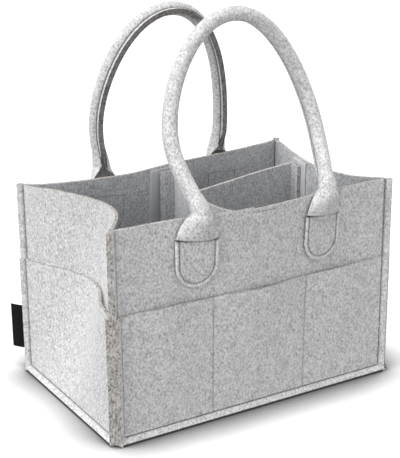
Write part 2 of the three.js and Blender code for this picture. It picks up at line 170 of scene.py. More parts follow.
def grid_cells(index: Array) -> Array:
    """The four-cornered faces of a grid, from the numbers of its points."""
    corners = (index[:-1, :-1], index[:-1, 1:], index[1:, 1:], index[1:, :-1])
    return np.stack(corners, axis=-1).reshape(-1, 4)


def add_piece(name: str, points: Array, faces: Sequence[Sequence[int]]) -> Piece:
    """Put a mesh into the scene, in metres and shaded smooth.

    Args:
        name: the piece's name.
        points: its points in millimetres, as rows.
        faces: the corners of each face.

    Returns:
        The new object, at the origin.
    """
    mesh = bpy.data.meshes.new(name)
    mesh.from_pydata(points * MM, [], faces)
    mesh.polygons.foreach_set("use_smooth", np.ones(len(faces), dtype=bool))
    piece = bpy.data.objects.new(name, mesh)
    bpy.context.scene.collection.objects.link(piece)
    return piece


class Face(Enum):
    """Which material slot of a sheet a face takes: its outer face, its cut edge, its inner face or
    an arris."""

    OUTER = 0
    EDGE = 1
    INNER = 2
    ARRIS = 3


def slab(name: str, outer: Array, inner: Array, flat: Array | None = None,
         nap: Array | None = None) -> Piece:
    """The closed body between two matching grids, with a strip of faces round their border.

    Args:
        name: the piece's name.
        outer: grid of points on the outer face, with the shape (rows, columns, 3).
        inner: the matching grid on the inner face.
        flat: places on the flat sheet in millimetres, which become the UV map.
        nap: painted tone of the outer face: painted highlight above 0, painted shade below 0.

    Returns:
        The piece, with a small round on its cut edges.
    """
    rows, columns = outer.shape[:2]
    index = np.arange(rows * columns).reshape(rows, columns)
    count = index.size
    cells = grid_cells(index)
    border = np.concatenate([index[0, :-1], index[:-1, -1], index[-1, :0:-1], index[:0:-1, 0]])
    after = np.roll(border, -1)
    rim = np.stack([after, border, border + count, after + count], axis=-1)
    points = np.concatenate([outer.reshape(-1, 3), inner.reshape(-1, 3)])
    faces = facing_out(points, np.concatenate([cells, rim, cells[:, ::-1] + count]))
    piece = add_piece(name, points, faces)
    parts = np.repeat([Face.OUTER.value, Face.EDGE.value, Face.INNER.value],
                      [len(cells), len(rim), len(cells)])
    piece.data.polygons.foreach_set("material_index", parts.astype(np.int32))
    if flat is not None:
        layer = piece.data.uv_layers.new(name="flat")
        layer.data.foreach_set("uv", flat.reshape(-1, 2)[faces.ravel() % count].ravel())
    if nap is not None:
        values = np.concatenate([np.broadcast_to(nap, (rows, columns)).ravel(), np.zeros(count)])
        piece.data.attributes.new("nap", "FLOAT", "POINT").data.foreach_set("value", values)
    round_edges(piece)
    return piece


def round_edges(piece: Piece, width: float = 0.9) -> None:
    """Round the right-angled edges of a sheet, as shears leave them on felt."""
    bevel = piece.modifiers.new("soft_cut_edge", "BEVEL")
    bevel.width = width * MM
    bevel.segments = 3
    bevel.limit_method = "ANGLE"
    bevel.angle_limit = math.radians(74.0)
    bevel.harden_normals = True
    # The rounded edges take the lighter arris felt, a painted highlight.
    bevel.material = Face.ARRIS.value


def tubes(name: str, rings: Array) -> Piece:
    """Closed round bodies through rings of points, with a flat face at both ends.

    Args:
        name: the piece's name.
        rings: the points, with the shape (bodies, stations, around, 3).

    Returns:
        One piece that holds all the bodies.
    """
    bodies, stations, around = rings.shape[:3]
    index = np.arange(bodies * stations * around).reshape(bodies, stations, around)
    beside = np.roll(index, -1, axis=2)
    sides = np.stack([index[:, :-1], beside[:, :-1], beside[:, 1:], index[:, 1:]],
                     axis=-1).reshape(-1, 4)
    points = rings.reshape(-1, 3)
    turned = facing_out(points, sides)
    start, end = index[:, 0], index[:, -1]
    caps = [start[:, ::-1], end] if turned is sides else [start, end[:, ::-1]]
    return add_piece(name, points, turned.tolist() + np.concatenate(caps).tolist())


# Materials

def linear(colour: str) -> tuple[float, float, float, float]:
    """Turn an sRGB hex colour to linear light.

    Args:
        colour: six hex digits after a hash sign.

    Returns:
        Red, green, blue and alpha.
    """
    shares = [int(colour[i:i + 2], 16) / 255.0 for i in (1, 3, 5)]
    red, green, blue = (s / 12.92 if s <= 0.04045 else ((s + 0.055) / 1.055) ** 2.4 for s in shares)
    return red, green, blue, 1.0


def add_node(tree: bpy.types.NodeTree, kind: str, inputs: dict,
             **settings: object) -> bpy.types.Node:
    """Add a node with its settings, and set or link its inputs.

    Args:
        tree: the node tree.
        kind: the node's type name.
        inputs: for each input's name or number, a value or the socket that feeds it.
        settings: the node's own properties.

    Returns:
        The new node.
    """
    node = tree.nodes.new(kind)
    for key, value in settings.items():
        setattr(node, key, value)
    for key, value in inputs.items():
        if isinstance(value, bpy.types.NodeSocket):
            tree.links.new(value, node.inputs[key])
        else:
            node.inputs[key].default_value = value
    return node


class Finish(ABC):
    """A procedural material, made once and shared by all pieces that take it."""

    name: str
    dark: str
    light: str

    def tone(self, tree: bpy.types.NodeTree, factor: bpy.types.NodeSocket) -> bpy.types.NodeSocket:
        """The colour from dark to light, by a factor from 0 to 1."""
        mix = add_node(tree, "ShaderNodeMix",
                       {"Factor": factor, "A": linear(self.dark), "B": linear(self.light)},
                       data_type="RGBA")
        return mix.outputs["Result"]

    def lay(self, tree: bpy.types.NodeTree, shader: bpy.types.Node, colour: bpy.types.NodeSocket,
            bump: dict, levels: dict[str, float]) -> None:
        """Feed the shader's colour and normal, and set its other levels.

        Args:
            tree: the material's node tree.
            shader: its shader.
            colour: the socket of the colour.
            bump: the bump's inputs, with its height's socket and its distance.
            levels: the shader's other inputs, by name.
        """
        normal = add_node(tree, "ShaderNodeBump", bump).outputs[0]
        tree.links.new(colour, shader.inputs["Base Color"])
        tree.links.new(normal, shader.inputs["Normal"])
        for name, level in levels.items():
            shader.inputs[name].default_value = level

    def material(self) -> bpy.types.Material:
        """The finish's material, made the first time that it is asked for."""
        made = bpy.data.materials.get(self.name)
        if made is None:
            made = bpy.data.materials.new(self.name)
            made.use_nodes = True
            tree = made.node_tree
            tree.nodes.clear()
            shader = add_node(tree, "ShaderNodeBsdfPrincipled", {})
            add_node(tree, "ShaderNodeOutputMaterial", {"Surface": shader.outputs["BSDF"]})
            self.paint(tree, shader)
        return made

    @abstractmethod
    def paint(self, tree: bpy.types.NodeTree, shader: bpy.types.Node) -> None:
        """Feed the shader from the finish's own nodes."""


@dataclass(frozen=True)
class FeltFinish(Finish):
    """Heather wool-blend felt: matted pale and dark fibres, pressed flat, with a soft fuzzy light
    at the rim.

    The fibres show as short flecks that lie every way. Real ones are 0.03 mm thick, too fine for
    the render, so the flecks are drawn as the clumps that the eye sees, two or three millimetres
    long.
    """

    name: str
    dark: str
    light: str
    fleck_length: float = 2.8
    fleck_width: float = 2.1
    patch: float = 8.0
    patch_share: float = 0.6
    contrast: float = 1.05
    balance: float = 1.74
    relief: float = 0.6
    sheen: float = 0.25
    half_range: float = 0.42

    def paint(self, tree: bpy.types.NodeTree, shader: bpy.types.Node) -> None:
        """Feed the shader with flecks along three slanted directions over soft patches."""
        place = add_node(tree, "ShaderNodeTexCoord", {}).outputs["Object"]
        sizes = [1.0 / (size * MM)
                 for size in (self.fleck_width, self.fleck_width, self.fleck_length)]
        flecks = []
        for turn in FLECK_TURNS:
            mapped = add_node(tree, "ShaderNodeMapping",
                              {"Vector": place, "Rotation": turn, "Scale": sizes})
            flecks.append(add_node(tree, "ShaderNodeTexNoise",
                                   {"Vector": mapped.outputs[0], "Scale": 1.0,
                                    "Detail": 1.0}).outputs[0])
        pair = add_node(tree, "ShaderNodeMath", {0: flecks[0], 1: flecks[1]}, operation="ADD")
        fibres = add_node(tree, "ShaderNodeMath", {0: pair.outputs[0], 1: flecks[2]},
                          operation="ADD")
        patches = add_node(tree, "ShaderNodeTexNoise",
                           {"Vector": place, "Scale": 1.0 / (self.patch * MM), "Detail": 3.0})
        both = add_node(tree, "ShaderNodeMath",
                        {0: patches.outputs[0], 1: self.patch_share, 2: fibres.outputs[0]},
                        operation="MULTIPLY_ADD")
        half = self.half_range / self.contrast
        level = add_node(tree, "ShaderNodeMapRange",
                         {"Value": both.outputs[0], "From Min": self.balance - half,
                          "From Max": self.balance + half})
        # The nap attribute scales the colour: painted shade in grooves, creases and ridge flanks, a
        # painted highlight on tab rims.
        nap = add_node(tree, "ShaderNodeAttribute", {}, attribute_name="nap").outputs["Fac"]
        share = add_node(tree, "ShaderNodeMath", {0: nap, 1: 1.0}, operation="ADD")
        painted_tone = add_node(tree, "ShaderNodeVectorMath",
                          {0: self.tone(tree, level.outputs[0]), "Scale": share.outputs[0]},
                          operation="SCALE")
        self.lay(tree, shader, painted_tone.outputs[0],
                 {"Height": fibres.outputs[0], "Strength": 0.8, "Distance": self.relief * MM},
                 {"Roughness": 0.95, "Specular IOR Level": 0.15, "Sheen Weight": self.sheen,
                  "Sheen Roughness": 0.55})


@dataclass(frozen=True)
class ThreadFinish(Finish):
    """Spun polyester sewing thread: a matt grey twist with a faint gleam on the high side of each
    ply."""

    name: str = "spun_polyester_thread"
    dark: str = "#434245"
    light: str = "#6e6d70"
    ply: float = 0.5

    def paint(self, tree: bpy.types.NodeTree, shader: bpy.types.Node) -> None:
        """Feed the shader with slanted bands, one for each ply of the twist."""
        place = add_node(tree, "ShaderNodeTexCoord", {}).outputs["Object"]
        bands = add_node(tree, "ShaderNodeTexWave",
                         {"Vector": place, "Scale": WAVE_PERIOD / (self.ply * MM),
                          "Distortion": 0.6},
                         bands_direction="DIAGONAL").outputs["Fac"]
        self.lay(tree, shader, self.tone(tree, bands), {"Height": bands, "Distance": 0.1 * MM},
                 {"Roughness": 0.6, "Sheen Weight": 0.2})


class Nap(Enum):
    """The two halves of a touch fastener."""

    LOOP = "loop"
    HOOK = "hook"


@dataclass(frozen=True)
class TapeFinish(Finish):
    """Knitted nylon fastener tape: a nap of fine loops, or rows of small stiff hooks, on a grey
    ground."""

    name: str
    nap: Nap
    dark: str = "#bcbdc0"
    light: str = "#e2e3e6"
    hook_spacing: float = 1.4
    loop_size: float = 0.9

    def paint(self, tree: bpy.types.NodeTree, shader: bpy.types.Node) -> None:
        """Feed the shader with a grid of hooks or with tangled loops, laid out on the flat tape."""
        flat = add_node(tree, "ShaderNodeUVMap", {}, uv_map="flat").outputs[0]
        if self.nap is Nap.HOOK:
            cells = add_node(tree, "ShaderNodeTexVoronoi",
                             {"Vector": flat, "Scale": 1.0 / self.hook_spacing, "Randomness": 0.15})
            height = add_node(tree, "ShaderNodeMapRange",
                              {"Value": cells.outputs["Distance"], "From Min": 0.55,
                               "From Max": 0.1})
        else:
            height = add_node(tree, "ShaderNodeTexNoise",
                              {"Vector": flat, "Scale": 1.0 / self.loop_size, "Detail": 4.0,
                               "Distortion": 1.5})
        self.lay(tree, shader, self.tone(tree, height.outputs[0]),
                 {"Height": height.outputs[0], "Distance": 0.5 * MM},
                 {"Roughness": 0.75, "Sheen Weight": 0.15})


@dataclass(frozen=True)
class WovenFinish(Finish):
    """Black polyester satin ribbon: close ribs of weft over a fine warp, with a low silky gleam."""

    name: str = "black_satin_ribbon"
    dark: str = "#08080a"
    light: str = "#1a1a1d"
    weft: float = 0.7
    warp: float = 1.1

    def paint(self, tree: bpy.types.NodeTree, shader: bpy.types.Node) -> None:
        """Feed the shader with two crossed sets of ribs, drawn coarse enough to show."""
        flat = add_node(tree, "ShaderNodeUVMap", {}, uv_map="flat").outputs[0]
        ribs = [add_node(tree, "ShaderNodeTexWave",
                         {"Vector": flat, "Scale": WAVE_PERIOD / size, "Distortion": 0.4},
                         bands_direction=direction).outputs["Fac"]
                for direction, size in (("Y", self.weft), ("X", self.warp))]
        weave = add_node(tree, "ShaderNodeMath", {0: ribs[0], 1: ribs[1]},
                         operation="MULTIPLY").outputs[0]
        self.lay(tree, shader, self.tone(tree, weave), {"Height": weave, "Distance": 0.15 * MM},
                 {"Roughness": 0.7, "Specular IOR Level": 0.1})


@dataclass(frozen=True)
class CottonFinish(Finish):
    """Bleached cotton filler cord: chalky off-white with loose lint."""

    name: str = "cotton_filler_cord"
    dark: str = "#cfcbc0"
    light: str = "#ece9e1"
    lint: float = 1.2

    def paint(self, tree: bpy.types.NodeTree, shader: bpy.types.Node) -> None:
        """Feed the shader with lint-sized noise."""
        place = add_node(tree, "ShaderNodeTexCoord", {}).outputs["Object"]
        lint = add_node(tree, "ShaderNodeTexNoise",
                        {"Vector": place, "Scale": 1.0 / (self.lint * MM),
                         "Detail": 4.0}).outputs[0]
        self.lay(tree, shader, self.tone(tree, lint), {"Height": lint, "Distance": 0.3 * MM},
                 {"Roughness": 0.95})


OUTER_FELT = FeltFinish("heather_grey_felt", "#a3a2a3", "#e6e5e6")
# A darker, cooler copy of the outer felt for the faces inside the caddy: painted shade.
SHADED_INNER_FELT = FeltFinish("heather_grey_felt_inner_face", "#98999c", "#d8d9dc")
CUT_FELT = FeltFinish("cut_felt_edge", "#5e5a56", "#c1bdb9", contrast=1.2, relief=0.45)
# A darker copy of the cut felt for the handle's ridge: painted shade.
SHADED_RIDGE_FELT = FeltFinish("cut_felt_ridge", "#54504e", "#989491", contrast=1.1, relief=0.45)
# A lighter felt for the rounded cut edges: a painted highlight where they catch the light.
HIGHLIT_ARRIS_FELT = FeltFinish("fuzzy_felt_arris", "#b5b3b1", "#e4e2e0", sheen=0.4)
THREAD = ThreadFinish()
GREY_THREAD = ThreadFinish("grey_polyester_thread", "#79787b", "#a5a4a7")
PALE_THREAD = ThreadFinish("pale_polyester_thread", "#cfd0d3", "#ecedf0")
LOOP_TAPE = TapeFinish("knitted_loop_tape", Nap.LOOP)
HOOK_TAPE = TapeFinish("moulded_hook_tape", Nap.HOOK)
RIBBON = WovenFinish()
COTTON = CottonFinish()


def dress(piece: Piece, body: str, slot: str, *finishes: Finish) -> None:
    """Give a piece its materials and its body.

    Args:
        piece: the piece.
        body: the body of the frame that it rides on.
        slot: not used.
        finishes: its materials, in the order of its material slots.
    """
    for finish in finishes:
        piece.data.materials.append(finish.material())
    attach(piece, body)


def dress_felt(piece: Piece, body: str, slot: str) -> None:
    """Give a felt sheet its two faces and its cut edges."""
    dress(piece, body, slot, OUTER_FELT, CUT_FELT, OUTER_FELT, HIGHLIT_ARRIS_FELT)


# Sewing

@dataclass(frozen=True)
class Stitching:
    """Lockstitch: short grains of thread that dip into the felt at both ends."""

    pitch: float = 3.6
    gap: float = 0.8
    radius: float = 0.4
    lift: float = 0.1
    stations: int = 7
    around: int = 6

    def rings(self, row: Row) -> Array:
        """Rings of all the stitches in one row.

        A stitch follows the row, stands above the felt by the lift less a fourth power that takes
        its ends under, and is as thick as the root of one less that fourth power.

        Args:
            row: points along the row, and the felt's normals there.

        Returns:
            Points with the shape (stitches, stations, around, 3).
        """
        points, normals = row
        lengths = run_lengths(points)
        count = max(1, int(lengths[-1] / self.pitch))
        middles = (np.arange(count) + 0.5) * lengths[-1] / count
        share = np.linspace(-1.0, 1.0, self.stations)
        ways = middles[:, None] + share * (lengths[-1] / count - self.gap) / 2
        middle = along_line(points, ways.ravel()).reshape(count, self.stations, 3)
        up = unit(np.stack([np.interp(ways, lengths, column) for column in normals.T], axis=-1))
        side = unit(np.cross(up, np.gradient(middle, axis=1)))
        dip = share**4
        height = (self.lift - (self.lift + 1.2 * self.radius) * dip)[None, :, None]
        thick = (self.radius * np.sqrt(1.0 - 0.8 * dip))[None, :, None, None]
        angle = np.linspace(0.0, 2.0 * math.pi, self.around, endpoint=False)[:, None]
        ring = np.cos(angle) * up[:, :, None] + np.sin(angle) * side[:, :, None]
        return (middle + height * up)[:, :, None] + thick * ring

    def sew(self, name: str, rows: Sequence[Row], body: str, slot: str,
            finish: Finish = THREAD) -> Piece:
        """Sew all rows as one piece of thread.

        Args:
            name: the piece's name.
            rows: the rows, each with its points and normals.
            body: the body that the felt rides on.
            slot: the felt's slot in the record.
            finish: the thread's finish.

        Returns:
            The thread.
        """
        piece = tubes(name, np.concatenate([self.rings(row) for row in rows]))
        dress(piece, body, slot, finish)
        return piece


STITCHING = Stitching()


# Walls

@dataclass(frozen=True)
class Seam:
    """A seam of two felt sheets, whose raw edges stand out together at 45 degrees."""

    felt: float = FELT
    gap: float = LAYER_GAP
    allowance: float = 9.4
    bend: float = 7.5
    groove: float = 1.6
    groove_spread: float = 0.8
    # Painted shade: how much darker the felt is drawn along the stitch grooves.
    pressed: float = 0.55
    settled: float = 5.0
    off_floor: float = 0.4

    @property
    def flange_run(self) -> float:
        """How far the 45 degree flange reaches along the wall."""
        return self.allowance * math.sqrt(0.5)

    @property
    def bend_run(self) -> float:
        """How far the bend after the flange reaches along the wall."""
        return self.bend * math.sqrt(0.5)

    @property
    def run(self) -> float:
        """How far the whole seam reaches along the wall."""
        return self.flange_run + self.bend_run

    @property
    def shift(self) -> float:
        """How far the next layer of felt lies along the wall at 45 degrees."""
        return (self.felt + self.gap) * math.sqrt(0.5)

    @property
    def rim_height(self) -> float:
        """Height of the lower seam's raw edges before they are trimmed to the floor, where the
        caddy has settled."""
        return self.shift / 2 + self.felt / 2 / math.sqrt(1.5) - self.settled

    @property
    def foot(self) -> float:
        """Height at which the lower seam ends and the plain wall starts."""
        return self.rim_height + self.run

    @property
    def stitch_line(self) -> float:
        """How far from the raw edge the thread runs."""
        return self.flange_run + 0.3

    def inset(self, way: Array) -> Array:
        """How far a sheet has come in: as far as the way along over the flange, then round a
        circular bend."""
        left = np.clip(self.run - way, 0.0, self.bend)
        round_bend = self.flange_run + np.sqrt(self.bend**2 - left**2) - self.bend_run
        return np.where(way <= self.flange_run, way, round_bend)

    def pinch(self, way: Array) -> Array:
        """Share of its depth that the groove of the thread has, as a bump across the stitch
        line."""
        return bell(way - self.stitch_line, self.groove_spread)


class Side(Enum):
    """The four walls, with the direction along each and the direction out of it."""

    FRONT = ((1.0, 0.0, 0.0), (0.0, -1.0, 0.0))
    BACK = ((1.0, 0.0, 0.0), (0.0, 1.0, 0.0))
    LEFT = ((0.0, 1.0, 0.0), (-1.0, 0.0, 0.0))
    RIGHT = ((0.0, 1.0, 0.0), (1.0, 0.0, 0.0))

    @property
    def word(self) -> str:
        """The wall's name in piece names."""
        return self.name.lower()

    def place(self, along: Array, out: Array, up: Array) -> Array:
        """Points from their places along the wall, out of it and up."""
        axis, outward = (np.array(direction) for direction in self.value)
        return along[..., None] * axis + out[..., None] * outward + up[..., None] * UP


class Bow(ABC):
    """How far a soft wall leaves the straight line between its corners."""

    @abstractmethod
    def inward(self, share: Array, rise: Array, along: Array) -> Array:
        """Way inwards at a share of the wall's length, a share of its height and a place along
        it."""


@dataclass(frozen=True)
class SideBow(Bow):
    """A wall that sags inwards, most near its front at the top and near its middle lower down."""

    depth: float
    skew: float
    power: float
    lean: float = 0.7

    def inward(self, share: Array, rise: Array, along: Array) -> Array:
        """Depth times a power of the sine over the skewed length, times one less the square of what
        is left.

        The skew grows with the way that is left up to the top.

        Args:
            share: share of the wall's length.
            rise: share of its height.
            along: places along it, which this wall leaves aside.

        Returns:
            The way inwards for each place.
        """
        skewed = share ** (self.skew + self.lean * (1.0 - rise))
        wave = np.maximum(np.sin(math.pi * skewed), 0.0) ** self.power
        return self.depth * wave * (1.0 - (1.0 - rise) ** 2)


@dataclass(frozen=True)
class BackBow(Bow):
    """A wall that leans in evenly with height."""

    depth: float = 28.0
    skew: float = 0.8
    power: float = 0.7

    def inward(self, share: Array, rise: Array, along: Array) -> Array:
        """Depth times a power of the sine over the skewed length, times the height's share."""
        return self.depth * np.maximum(np.sin(math.pi * share**self.skew), 0.0) ** self.power * rise


@dataclass(frozen=True)
class FrontBulge(Bow):
    """A wall that bulges out round its middle towards the top."""

    depth: float = 16.0
    spread: float = 50.0

    def inward(self, share: Array, rise: Array, along: Array) -> Array:
        """Minus the depth times a bump along the wall, times the square of the height's share."""
        return -self.depth * bell(along, self.spread) * rise**2


class Gape(ABC):
    """How far a pocket's mouth stands off its wall."""

    @abstractmethod
    def off(self, along: Array, edge: float) -> Array:
        """Way off the wall at places along it, where the seams' bends end at plus and minus
        edge."""


@dataclass(frozen=True)
class RowsGape(Gape):
    """A pocket that swells between its corner seams and its stitch rows."""

    depth: float = 4.0
    rows: tuple[float, ...] = POCKET_ROWS

    def off(self, along: Array, edge: float) -> Array:
        """Depth times the squared sine over each part between the rows."""
        bounds = np.array([-edge, *self.rows, edge])
        parts = np.interp(along, bounds, np.arange(len(bounds)))
        return self.depth * np.sin(math.pi * parts) ** 2


@dataclass(frozen=True)
class CornerGape(Gape):
    """A pocket that takes a straighter line than its bowed wall, so it gapes near the front."""

    depth: float = 3.0
    place: float = 34.0
    spread: float = 26.0

    def off(self, along: Array, edge: float) -> Array:
        """Depth times a bump near the front, eased to nothing at both seams."""
        clear = smooth((along + edge) / self.spread) * smooth((edge - along) / self.spread)
        return self.depth * bell(along + edge - self.place, self.spread) * clear


@dataclass(frozen=True)
class Sink:
    """How the top of a wall has sunk at one of its ends."""

    full: float
    none: float
    depth: float = 5.0

    def down(self, along: Array, rise: Array) -> Array:
        """Depth times an ease between the two places along the wall, times the square of the
        height's share."""
        return self.depth * smooth((along - self.none) / (self.full - self.none)) * rise**2


@dataclass
class Wall:
    """One felt wall with its outer pocket, and the thread of its seams."""

    side: Side
    length: float
    reach: float
    bow: Bow
    gape: Gape
    rows: tuple[float, ...] = ()
    row_pull: float = 0.3
    seam: Seam = field(default_factory=Seam)
    height: float = 236.0
    pocket_height: float = 144.0
    sink: Sink | None = None
    ripple: float = 0.8
    ripple_length: float = 71.0
    pitch: float = 3.0
    seam_pitch: float = 0.8

    @property
    def edge(self) -> float:
        """Place along the wall where a corner seam's bend ends."""
        return self.length / 2 - self.seam.run

    def way(self, along: Array, up: Array) -> Array:
        """Way from the nearest raw edge of a corner seam or of the lower seam."""
        return np.minimum(self.length / 2 - np.abs(along), up - self.seam.rim_height)

    def out(self, along: Array, up: Array) -> Array:
        """How far the wall's middle surface stands out from the middle of the caddy.

        It is the reach, less the seams' inset and the bow, held outside the 45 degree plane of each
        corner seam, plus a slight ripple of two sines that fades at the seams.

        Args:
            along: places along the wall.
            up: heights.

        Returns:
            The way out for each place.
        """
        seam = self.seam
        corner = self.length / 2 - np.abs(along)
        share = np.clip((along + self.length / 2 - seam.flange_run)
                        / (self.length - 2 * seam.flange_run), 0, 1)
        rise = np.clip((up - seam.foot) / (self.height - seam.foot), 0.0, 1.0)
        turn = 2.0 * math.pi / self.ripple_length
        waves = (np.sin(turn * (along + 0.35 * up) + self.reach)
                 + np.sin(0.6 * turn * (up - 0.8 * along)))
        ripple = self.ripple * (0.5 + 0.25 * waves) * smooth((corner - seam.run) / 25.0) * rise
        bowed = seam.inset(self.way(along, up)) + self.bow.inward(share, rise, along) - ripple
        return self.reach + seam.shift - np.minimum(bowed, corner)

    def point(self, along: Array, up: Array, off: Array | float) -> Array:
        """Points moved off the middle surface along its normal.

        Args:
            along: places along the wall.
            up: heights.
            off: way off the middle surface, outwards where positive.

        Returns:
            The points.
        """
        step = 0.5
        slope_along = (self.out(along + step, up) - self.out(along - step, up)) / (2 * step)
        slope_up = (self.out(along, up + step) - self.out(along, up - step)) / (2 * step)
        size = off / np.sqrt(1.0 + slope_along**2 + slope_up**2)
        sunk = 0.0 if self.sink is None else self.sink.down(along, up / self.height)
        return self.side.place(along - slope_along * size, self.out(along, up) + size,
                               up - slope_up * size - sunk)

    def row(self, along: Array | float, up: Array | float, off: Array | float,
            inside: bool = False) -> Row:
        """A stitch row on the wall.

        Args:
            along: places along the wall.
            up: heights.
            off: way of the sewn face off the wall's middle surface.
            inside: whether the thread shows on the inner face.

        Returns:
            The row's points, and the normals of the face there.
        """
        along, up = np.broadcast_arrays(np.asarray(along, dtype=float), np.asarray(up, dtype=float))
        points = self.point(along, up, off)
        normals = unit(self.point(along, up, off + 1.0) - points)
        return points, -normals if inside else normals

    def pocket_off(self, along: Array, up: Array) -> Array:
        """Way of the pocket's inner face off the wall: the gape, in proportion to the height in the
        pocket."""
        share = np.clip((up - self.seam.foot) / (self.pocket_height - self.seam.foot), 0.0, 1.0)
        return self.seam.felt / 2 + self.seam.gap + self.gape.off(along, self.edge) * share

    def pocket_pinch(self, along: Array, up: Array) -> Array:
        """Share of their depth that the grooves of the pocket's seams and rows have."""
        rows = sum((self.row_pull * bell(along - row, 1.0) for row in self.rows),
                   np.zeros_like(along))
        return np.maximum(self.seam.pinch(self.way(along, up)), rows)

    def panel_pinch(self, along: Array) -> Array:
        """Share of its depth that the groove of the panel's corner seams has."""
        return self.seam.pinch(self.length / 2 - np.abs(along))

    def pocket_face(self, along: Array, up: Array) -> Array:
        """Way of the pocket's outer face off the wall, with the grooves that the thread pulls into
        it."""
        pulled = self.seam.groove * self.pocket_pinch(along, up)
        return self.pocket_off(along, up) + self.seam.felt - pulled

    def panel_face(self, along: Array, up: Array) -> Array:
        """Way of the panel's outer face off the wall, with the groove of the corner seams."""
        return self.seam.felt / 2 - self.seam.groove * self.panel_pinch(along)

    def across_stops(self) -> Array:
        """Places along the wall, closer at the seams and at the pocket's stitch rows."""
        tip = self.length / 2 - self.seam.shift / 2
        runs = [(-tip, -self.edge, self.seam_pitch)]
        for row in self.rows:
            runs += [(runs[-1][1], row - 4.0, self.pitch), (row - 4.0, row + 4.0, self.seam_pitch)]
        runs += [(runs[-1][1], self.edge, self.pitch), (self.edge, tip, self.seam_pitch)]
        return stops(*runs)

    def up_stops(self, top: float, inner: float) -> Array:
        """Heights up to the top, closer at the lower seam and under the cut edge.

        Args:
            top: the sheet's upper edge.
            inner: way of its inner face off the wall's middle surface.

        Returns:
            The heights, the lowest of them where the sheet is trimmed to clear the floor.
        """
        trimmed = self.seam.off_floor - inner * math.sqrt(0.5)
        low = max(self.seam.rim_height + self.seam.shift / 2, trimmed)
        return stops((low, self.seam.foot, self.seam_pitch),
                     (self.seam.foot, top - 3.0, self.pitch),
                     (top - 3.0, top, 1.5))

    def build(self) -> None:
        """Make the wall's panel, its pocket and their thread."""
        self.build_panel()
        self.build_pocket()
        self.build_thread()

    def build_panel(self) -> None:
        """Make and dress the wall's panel."""
        along, up = np.meshgrid(self.across_stops(),
                                self.up_stops(self.height, -self.seam.felt / 2))
        panel = slab(f"{self.side.word}_panel_felt",
                     self.point(along, up, self.panel_face(along, up)),
                     self.point(along, up, -self.seam.felt / 2),
                     # The nap darkens the corner seams' grooves: painted shade.
                     nap=-self.seam.pressed * self.panel_pinch(along))
        # The panel's inner face takes the darker inside copy of the felt: painted shade.
        dress(panel, "caddy", "felt_panel", OUTER_FELT, CUT_FELT, SHADED_INNER_FELT, HIGHLIT_ARRIS_FELT)
        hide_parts(f"{self.side.word}_panel")

    def build_pocket(self) -> None:
        """Make and dress the wall's pocket."""
        inner = self.seam.felt / 2 + self.seam.gap
        along, up = np.meshgrid(self.across_stops(), self.up_stops(self.pocket_height, inner))
        pocket = slab(f"{self.side.word}_pocket_felt",
                      self.point(along, up, self.pocket_face(along, up)),
                      self.point(along, up, self.pocket_off(along, up)),
                      # The nap darkens the grooves of the seams and the rows: painted shade.
                      nap=-self.seam.pressed * self.pocket_pinch(along, up))
        dress_felt(pocket, "caddy", "felt_pocket")
        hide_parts(f"{self.side.word}_pocket")
        f"{self.side.word}_panel_felt"

    def build_thread(self) -> None:
        """Sew the corner seams, the lower seam and the pocket's rows."""
        line = self.seam.stitch_line
        corner = self.length / 2 - line
        low = self.seam.rim_height + line
        in_pocket = np.linspace(low, self.pocket_height - 1.5, 60)
        above = np.linspace(self.pocket_height + 2.0, self.height - 2.0, 50)
        rows = []
        for place in (-corner, corner):
            rows.append(self.face_row(np.full_like(in_pocket, place), in_pocket, self.pocket_face))
            rows.append(self.face_row(np.full_like(above, place), above, self.panel_face))
        across = np.linspace(-corner, corner, 120)
        rows.append(self.face_row(across, np.full_like(across, low), self.pocket_face))
        STITCHING.sew(f"{self.side.word}_seam_thread", rows, "caddy", "felt_panel")
        pocket_rows = [self.face_row(np.full_like(in_pocket, place), in_pocket, self.pocket_face)
                       for place in self.rows]
        if pocket_rows:
            STITCHING.sew(f"{self.side.word}_pocket_thread", pocket_rows, "caddy", "felt_pocket",
                          GREY_THREAD)

    def face_row(self, along: Array, up: Array, face: Callable[[Array, Array], Array]) -> Row:
        """A stitch row that lies in the groove of the panel's or the pocket's outer face."""
        return self.row(along, up, face(along, up))


